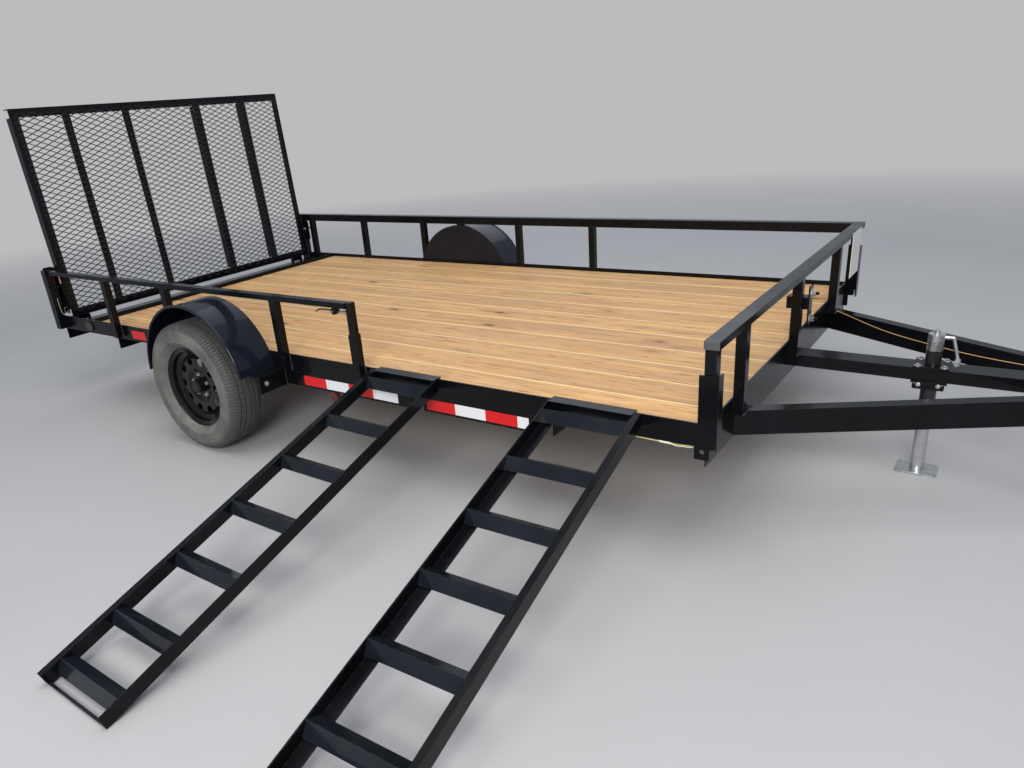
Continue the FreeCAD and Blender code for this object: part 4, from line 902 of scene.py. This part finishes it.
def weld_bead():
    """A short ripple of weld along Z, from flattened blobs laid over each other."""
    blobs = []
    for k in range(BEAD_BLOBS):
        clear_selection()
        rise = (k - BEAD_BLOBS // 2) * BEAD_STEP
        bpy.ops.mesh.primitive_ico_sphere_add(subdivisions=2, radius=BEAD_BLOB_R, location=(0, 0, rise))
        blob = bpy.context.view_layer.objects.active
        blob.scale = (1.0, 1.0, 0.8 + 0.1 * (k % 3))
        blobs.append(blob)
    return united(*blobs)


POST_HALF = 19.0
NEAR_POSTS = (-3541.0, -2945.0, -2056.0)
FAR_POSTS = (-4063.0, -3483.0, -2882.0, -2054.0, -1502.0)
NEAR_END_POST = -1558.0
NEAR_RAIL_LOW = 786.0
FAR_RAIL_LOW = 772.0
FOOT_SEAMS = (454.0, 496.0)
FRONT_POST_FACE = 38.0
FRONT_POSTS = (-760.0, -50.0, 640.0)


def weld_spots():
    """Seams at the side posts' feet and heads, and at the front posts' feet."""
    up = Vector((0, 0, 1))
    across = Vector((0, 1, 0))
    spots = []
    posts = [(x, -1, NEAR_RAIL_LOW) for x in NEAR_POSTS] + [(x, 1, FAR_RAIL_LOW) for x in FAR_POSTS]
    for x, side, head_z in posts:
        for edge in (-POST_HALF, POST_HALF):
            spots += [(at(x + edge, side * HALF_W, z), up) for z in FOOT_SEAMS]
            spots.append((at(x + edge, side * (HALF_W + POST_HALF), head_z), across))
    for edge in (-POST_HALF, POST_HALF):
        spots += [(at(NEAR_END_POST + edge, -HALF_W, z), up) for z in FOOT_SEAMS]
    spots += [(at(FRONT_POST_FACE, y, BEAM_TOP), across) for y in FRONT_POSTS]
    return spots


beads = scatter(weld_bead(), weld_spots())
settle(beads, "weld_beads", "chassis", WELD_BLACK, SOFT)


def corner_legs():
    """Rounded foot below each front corner bracket's cheek."""
    outline = ((1044.0, 482.0), (1083.0, 482.0), (1083.0, 446.0), (1044.0, 436.0))
    for side in SIDES:
        foot = plate([at(44.0, side * y, z) for y, z in outline], (0.006, 0, 0), 0.009)
        settle(foot, f"corner_leg_{hand(side)}", "chassis", BLACK)


corner_legs()


# Deck screws.
SCREW_BEHIND = 25.0
SCREW_FROM_END = 20.0
SCREW_SHARES = (0.2, 0.8)


def deck_screws():
    """Two screws in each board over each cross member and at both ends, sunk flush."""
    head = cylinder(8, 0.0042, 0.0012, -0.0002)
    open_mesh(head)
    choose(lambda face: face.normal.z > 0.9)
    bpy.ops.mesh.inset(thickness=0.0016, depth=-0.0004)
    close_mesh()
    spots = []
    pitch = (CROSS_FIRST - CROSS_LAST) / (CROSS_COUNT - 1)
    rows = [CROSS_LAST + k * pitch - SCREW_BEHIND for k in range(CROSS_COUNT)]
    rows += [DECK_FRONT - SCREW_FROM_END, DECK_REAR + SCREW_FROM_END]
    for row in rows:
        for board in range(BOARD_COUNT):
            for share in SCREW_SHARES:
                y = -DECK_EDGE + board * BOARD_PITCH + share * BOARD_W
                spots.append((at(row, y, DECK_TOP), Vector((0, 0, 1))))
    settle(scatter(head, spots), "deck_screws", "chassis", SCREW_TAN)


deck_screws()


# Tape.
TAPE_T = 0.0005
TAPE_CORNER = 0.003


def tape(name, x0, x1, z0, z1, face_y, side, cuts):
    """A strip of tape on a side face, cut into red and white lengths from its rear end."""
    clear_selection()
    middle = at((x0 + x1) / 2, side * face_y, (z0 + z1) / 2)
    bpy.ops.mesh.primitive_plane_add(size=1.0, location=middle, rotation=(side * -math.pi / 2, 0, 0))
    obj = bpy.context.view_layer.objects.active
    obj.scale = ((x1 - x0) / 1000.0, (z1 - z0) / 1000.0, 1.0)
    bpy.ops.object.transform_apply(location=True, rotation=True, scale=True)
    open_mesh(obj)
    bpy.ops.mesh.select_all(action="SELECT")
    bpy.ops.mesh.select_mode(type="VERT")
    bpy.ops.mesh.bevel(offset=TAPE_CORNER, segments=3, affect="VERTICES")
    for cut in cuts:
        bpy.ops.mesh.select_all(action="SELECT")
        bpy.ops.mesh.bisect(plane_co=at(cut, 0, 0), plane_no=(1, 0, 0))
    close_mesh()
    obj.data.materials.append(TAPE_RED)
    obj.data.materials.append(TAPE_WHITE)
    bounds = [at(cut, 0, 0).x for cut in cuts]
    for face in obj.data.polygons:
        face.material_index = sum(1 for bound in bounds if face.center.x > bound) % 2
    take(obj)
    sheet = obj.modifiers.new("sheet", "SOLIDIFY")
    sheet.thickness = TAPE_T
    sheet.offset = 1.0
    bpy.ops.object.modifier_apply(modifier="sheet")
    settle(obj, name, "chassis", None)


for side in SIDES:
    tape(f"tape_mid_{hand(side)}", -1963.0, -1366.0, 371.0, 419.0, HALF_W, side, (-1812.0, -1664.0, -1513.0))
    tape(f"tape_front_{hand(side)}", -1204.0, -694.0, 371.0, 419.0, HALF_W, side, (-1052.0, -899.0, -746.0))
    tape(f"tape_rear_{hand(side)}", -3421.0, -3285.0, 446.0, 495.0, HALF_W, side, ())
tape("rear_plate_reflector", -4160.0, -4140.0, 722.0, 774.0, 1022.0, -1, (-4147.0,))


# Wires.
def wire(name, points, radius, finish):
    """A wire fixed along the frame: one smooth curve made a mesh."""
    data = bpy.data.curves.new(name, "CURVE")
    data.dimensions = "3D"
    data.resolution_u = 8
    data.bevel_depth = radius / 1000.0
    data.bevel_resolution = 2
    data.use_fill_caps = True
    line = data.splines.new("NURBS")
    line.points.add(len(points) - 1)
    for point, spot in zip(line.points, points):
        point.co = (*at(*spot), 1.0)
    line.order_u = 4
    line.use_endpoint_u = True
    obj = bpy.data.objects.new(name, data)
    bpy.context.scene.collection.objects.link(obj)
    take(obj)
    bpy.ops.object.convert(target="MESH")
    settle(bpy.context.view_layer.objects.active, name, "chassis", finish, SOFT)


wire("tongue_wire",
     [(20, 676, 462), (60, 655, 458), (140, 613, 441), (230, 562, 424), (320, 511, 413), (473, 425, 409),
      (595, 356, 407), (720, 286, 413), (836, 221, 424), (960, 150, 428), (1060, 94, 424)],
     1.8, WIRE_ORANGE)
wire("corner_wire",
     [(-300, -1030, 430), (-255, -1038, 428), (-233, -1043, 431), (-177, -1044, 430), (-130, -1044, 431),
      (-108, -1043, 427), (-60, -1041, 430), (-25, -1030, 432)],
     1.8, WIRE_YELLOW)
wire("corner_wire_low",
     [(-150, -1036, 430), (-120, -1044, 428), (-92, -1046, 422), (-78, -1045, 430), (-55, -1044, 424),
      (-42, -1038, 430)],
     1.5, WIRE_WHITE)
wire("corner_plug",
     [(-160, -1045, 431), (-150, -1046, 431), (-128, -1046, 431), (-118, -1045, 430)],
     4.0, WIRE_WHITE)
wire("rail_latch_pull",
     [(-1668, -1059, 769), (-1690, -1059, 771), (-1730, -1059, 771), (-1762, -1059, 767),
      (-1776, -1059, 757)],
     3.6, WIRE_BLACK)
wire("latch_lanyard",
     [(-4162, -1061, 636), (-4162, -1063, 597), (-4162, -1060, 548), (-4162, -1052, 528), (-4160, -1038, 523),
      (-4156, -1026, 528), (-4154, -1021, 540)],
     1.1, WIRE_WHITE)


def spring_ring():
    """Points once round and a little over, in the plane across the trailer."""
    angles = [k * math.pi / 8 for k in range(18)]
    return [(-4156, -1030 + 12 * math.cos(angle), 555 + 16 * math.sin(angle)) for angle in angles]


wire("latch_spring_ring", spring_ring(), 1.3, ZINC_PIN)

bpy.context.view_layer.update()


# Floor, light and view.
FLOOR_DROP = -0.2
FADE_FROM = 5.0
FADE_TO = 11.0


def add_floor():
    """Pale disc of floor that fades out into the backdrop's colour."""
    clear_selection()
    bpy.ops.mesh.primitive_circle_add(vertices=96, radius=40.0, fill_type="NGON",
                                      location=at(-1500.0, 0, FLOOR_DROP))
    floor = bpy.context.view_layer.objects.active
    floor.name = "studio_floor"
    f = Finish("floor_pale", Roughness=0.75, Specular_IOR_Level=0.2)
    cloud = f.use(BLOTCH, Place=f.place, Size=0.6, Fine=40.0)
    f.feed(f.shader, "Base Color", f.mix(cloud["Tone"], (0.42, 0.42, 0.425, 1), (0.45, 0.45, 0.455, 1)))
    far = f.node("ShaderNodeVectorMath", {"operation": "LENGTH"})
    f.tree.links.new(f.place, far.inputs[0])
    fade = f.span(far.outputs["Value"], FADE_FROM, FADE_TO)
    clear = f.tree.nodes.new("ShaderNodeBsdfTransparent")
    blend = f.tree.nodes.new("ShaderNodeMixShader")
    output = next(n for n in f.tree.nodes if n.type == "OUTPUT_MATERIAL")
    f.tree.links.new(fade, blend.inputs[0])
    f.tree.links.new(f.shader.outputs[0], blend.inputs[1])
    f.tree.links.new(clear.outputs[0], blend.inputs[2])
    f.tree.links.new(blend.outputs[0], output.inputs[0])
    floor.data.materials.append(f.material)


def add_lamp(name, place, aim, size, power, color):
    data = bpy.data.lights.new(name, "AREA")
    data.shape = "DISK"
    data.size = size
    data.energy = power
    data.color = color
    lamp = bpy.data.objects.new(name, data)
    bpy.context.scene.collection.objects.link(lamp)
    lamp.location = place
    lamp.rotation_euler = (Vector(aim) - Vector(place)).to_track_quat("-Z", "Y").to_euler()


def add_world():
    """Soft even light, and a plain grey that only the camera sees."""
    world = bpy.data.worlds.new("studio")
    bpy.context.scene.world = world
    world.use_nodes = True
    p = Patch(world.node_tree)
    world.node_tree.nodes.clear()
    path = p.tree.nodes.new("ShaderNodeLightPath")
    light = p.node("ShaderNodeBackground", Color=(0.80, 0.86, 0.96, 1), Strength=0.48)
    seen = p.node("ShaderNodeBackground", Color=(0.50, 0.50, 0.51, 1), Strength=1.0)
    blend = p.tree.nodes.new("ShaderNodeMixShader")
    output = p.tree.nodes.new("ShaderNodeOutputWorld")
    p.tree.links.new(path.outputs["Is Camera Ray"], blend.inputs[0])
    p.tree.links.new(light.outputs[0], blend.inputs[1])
    p.tree.links.new(seen.outputs[0], blend.inputs[2])
    p.tree.links.new(blend.outputs[0], output.inputs[0])


add_floor()
add_lamp("key_above", (-2.0, -1.8, 6.5), (-2.5, 0.0, 0.0), 6.0, 270.0, (1.0, 0.98, 0.95))
add_lamp("far_panel", (-5.5, 6.0, 5.5), (-2.5, 0.0, 0.0), 8.0, 110.0, (0.86, 0.92, 1.0))
add_lamp("near_fill", (0.5, -7.0, 3.2), (-3.0, 0.0, 0.0), 3.0, 420.0, (1.0, 0.99, 0.97))
add_world()

bpy.context.scene.view_settings.view_transform = "Standard"
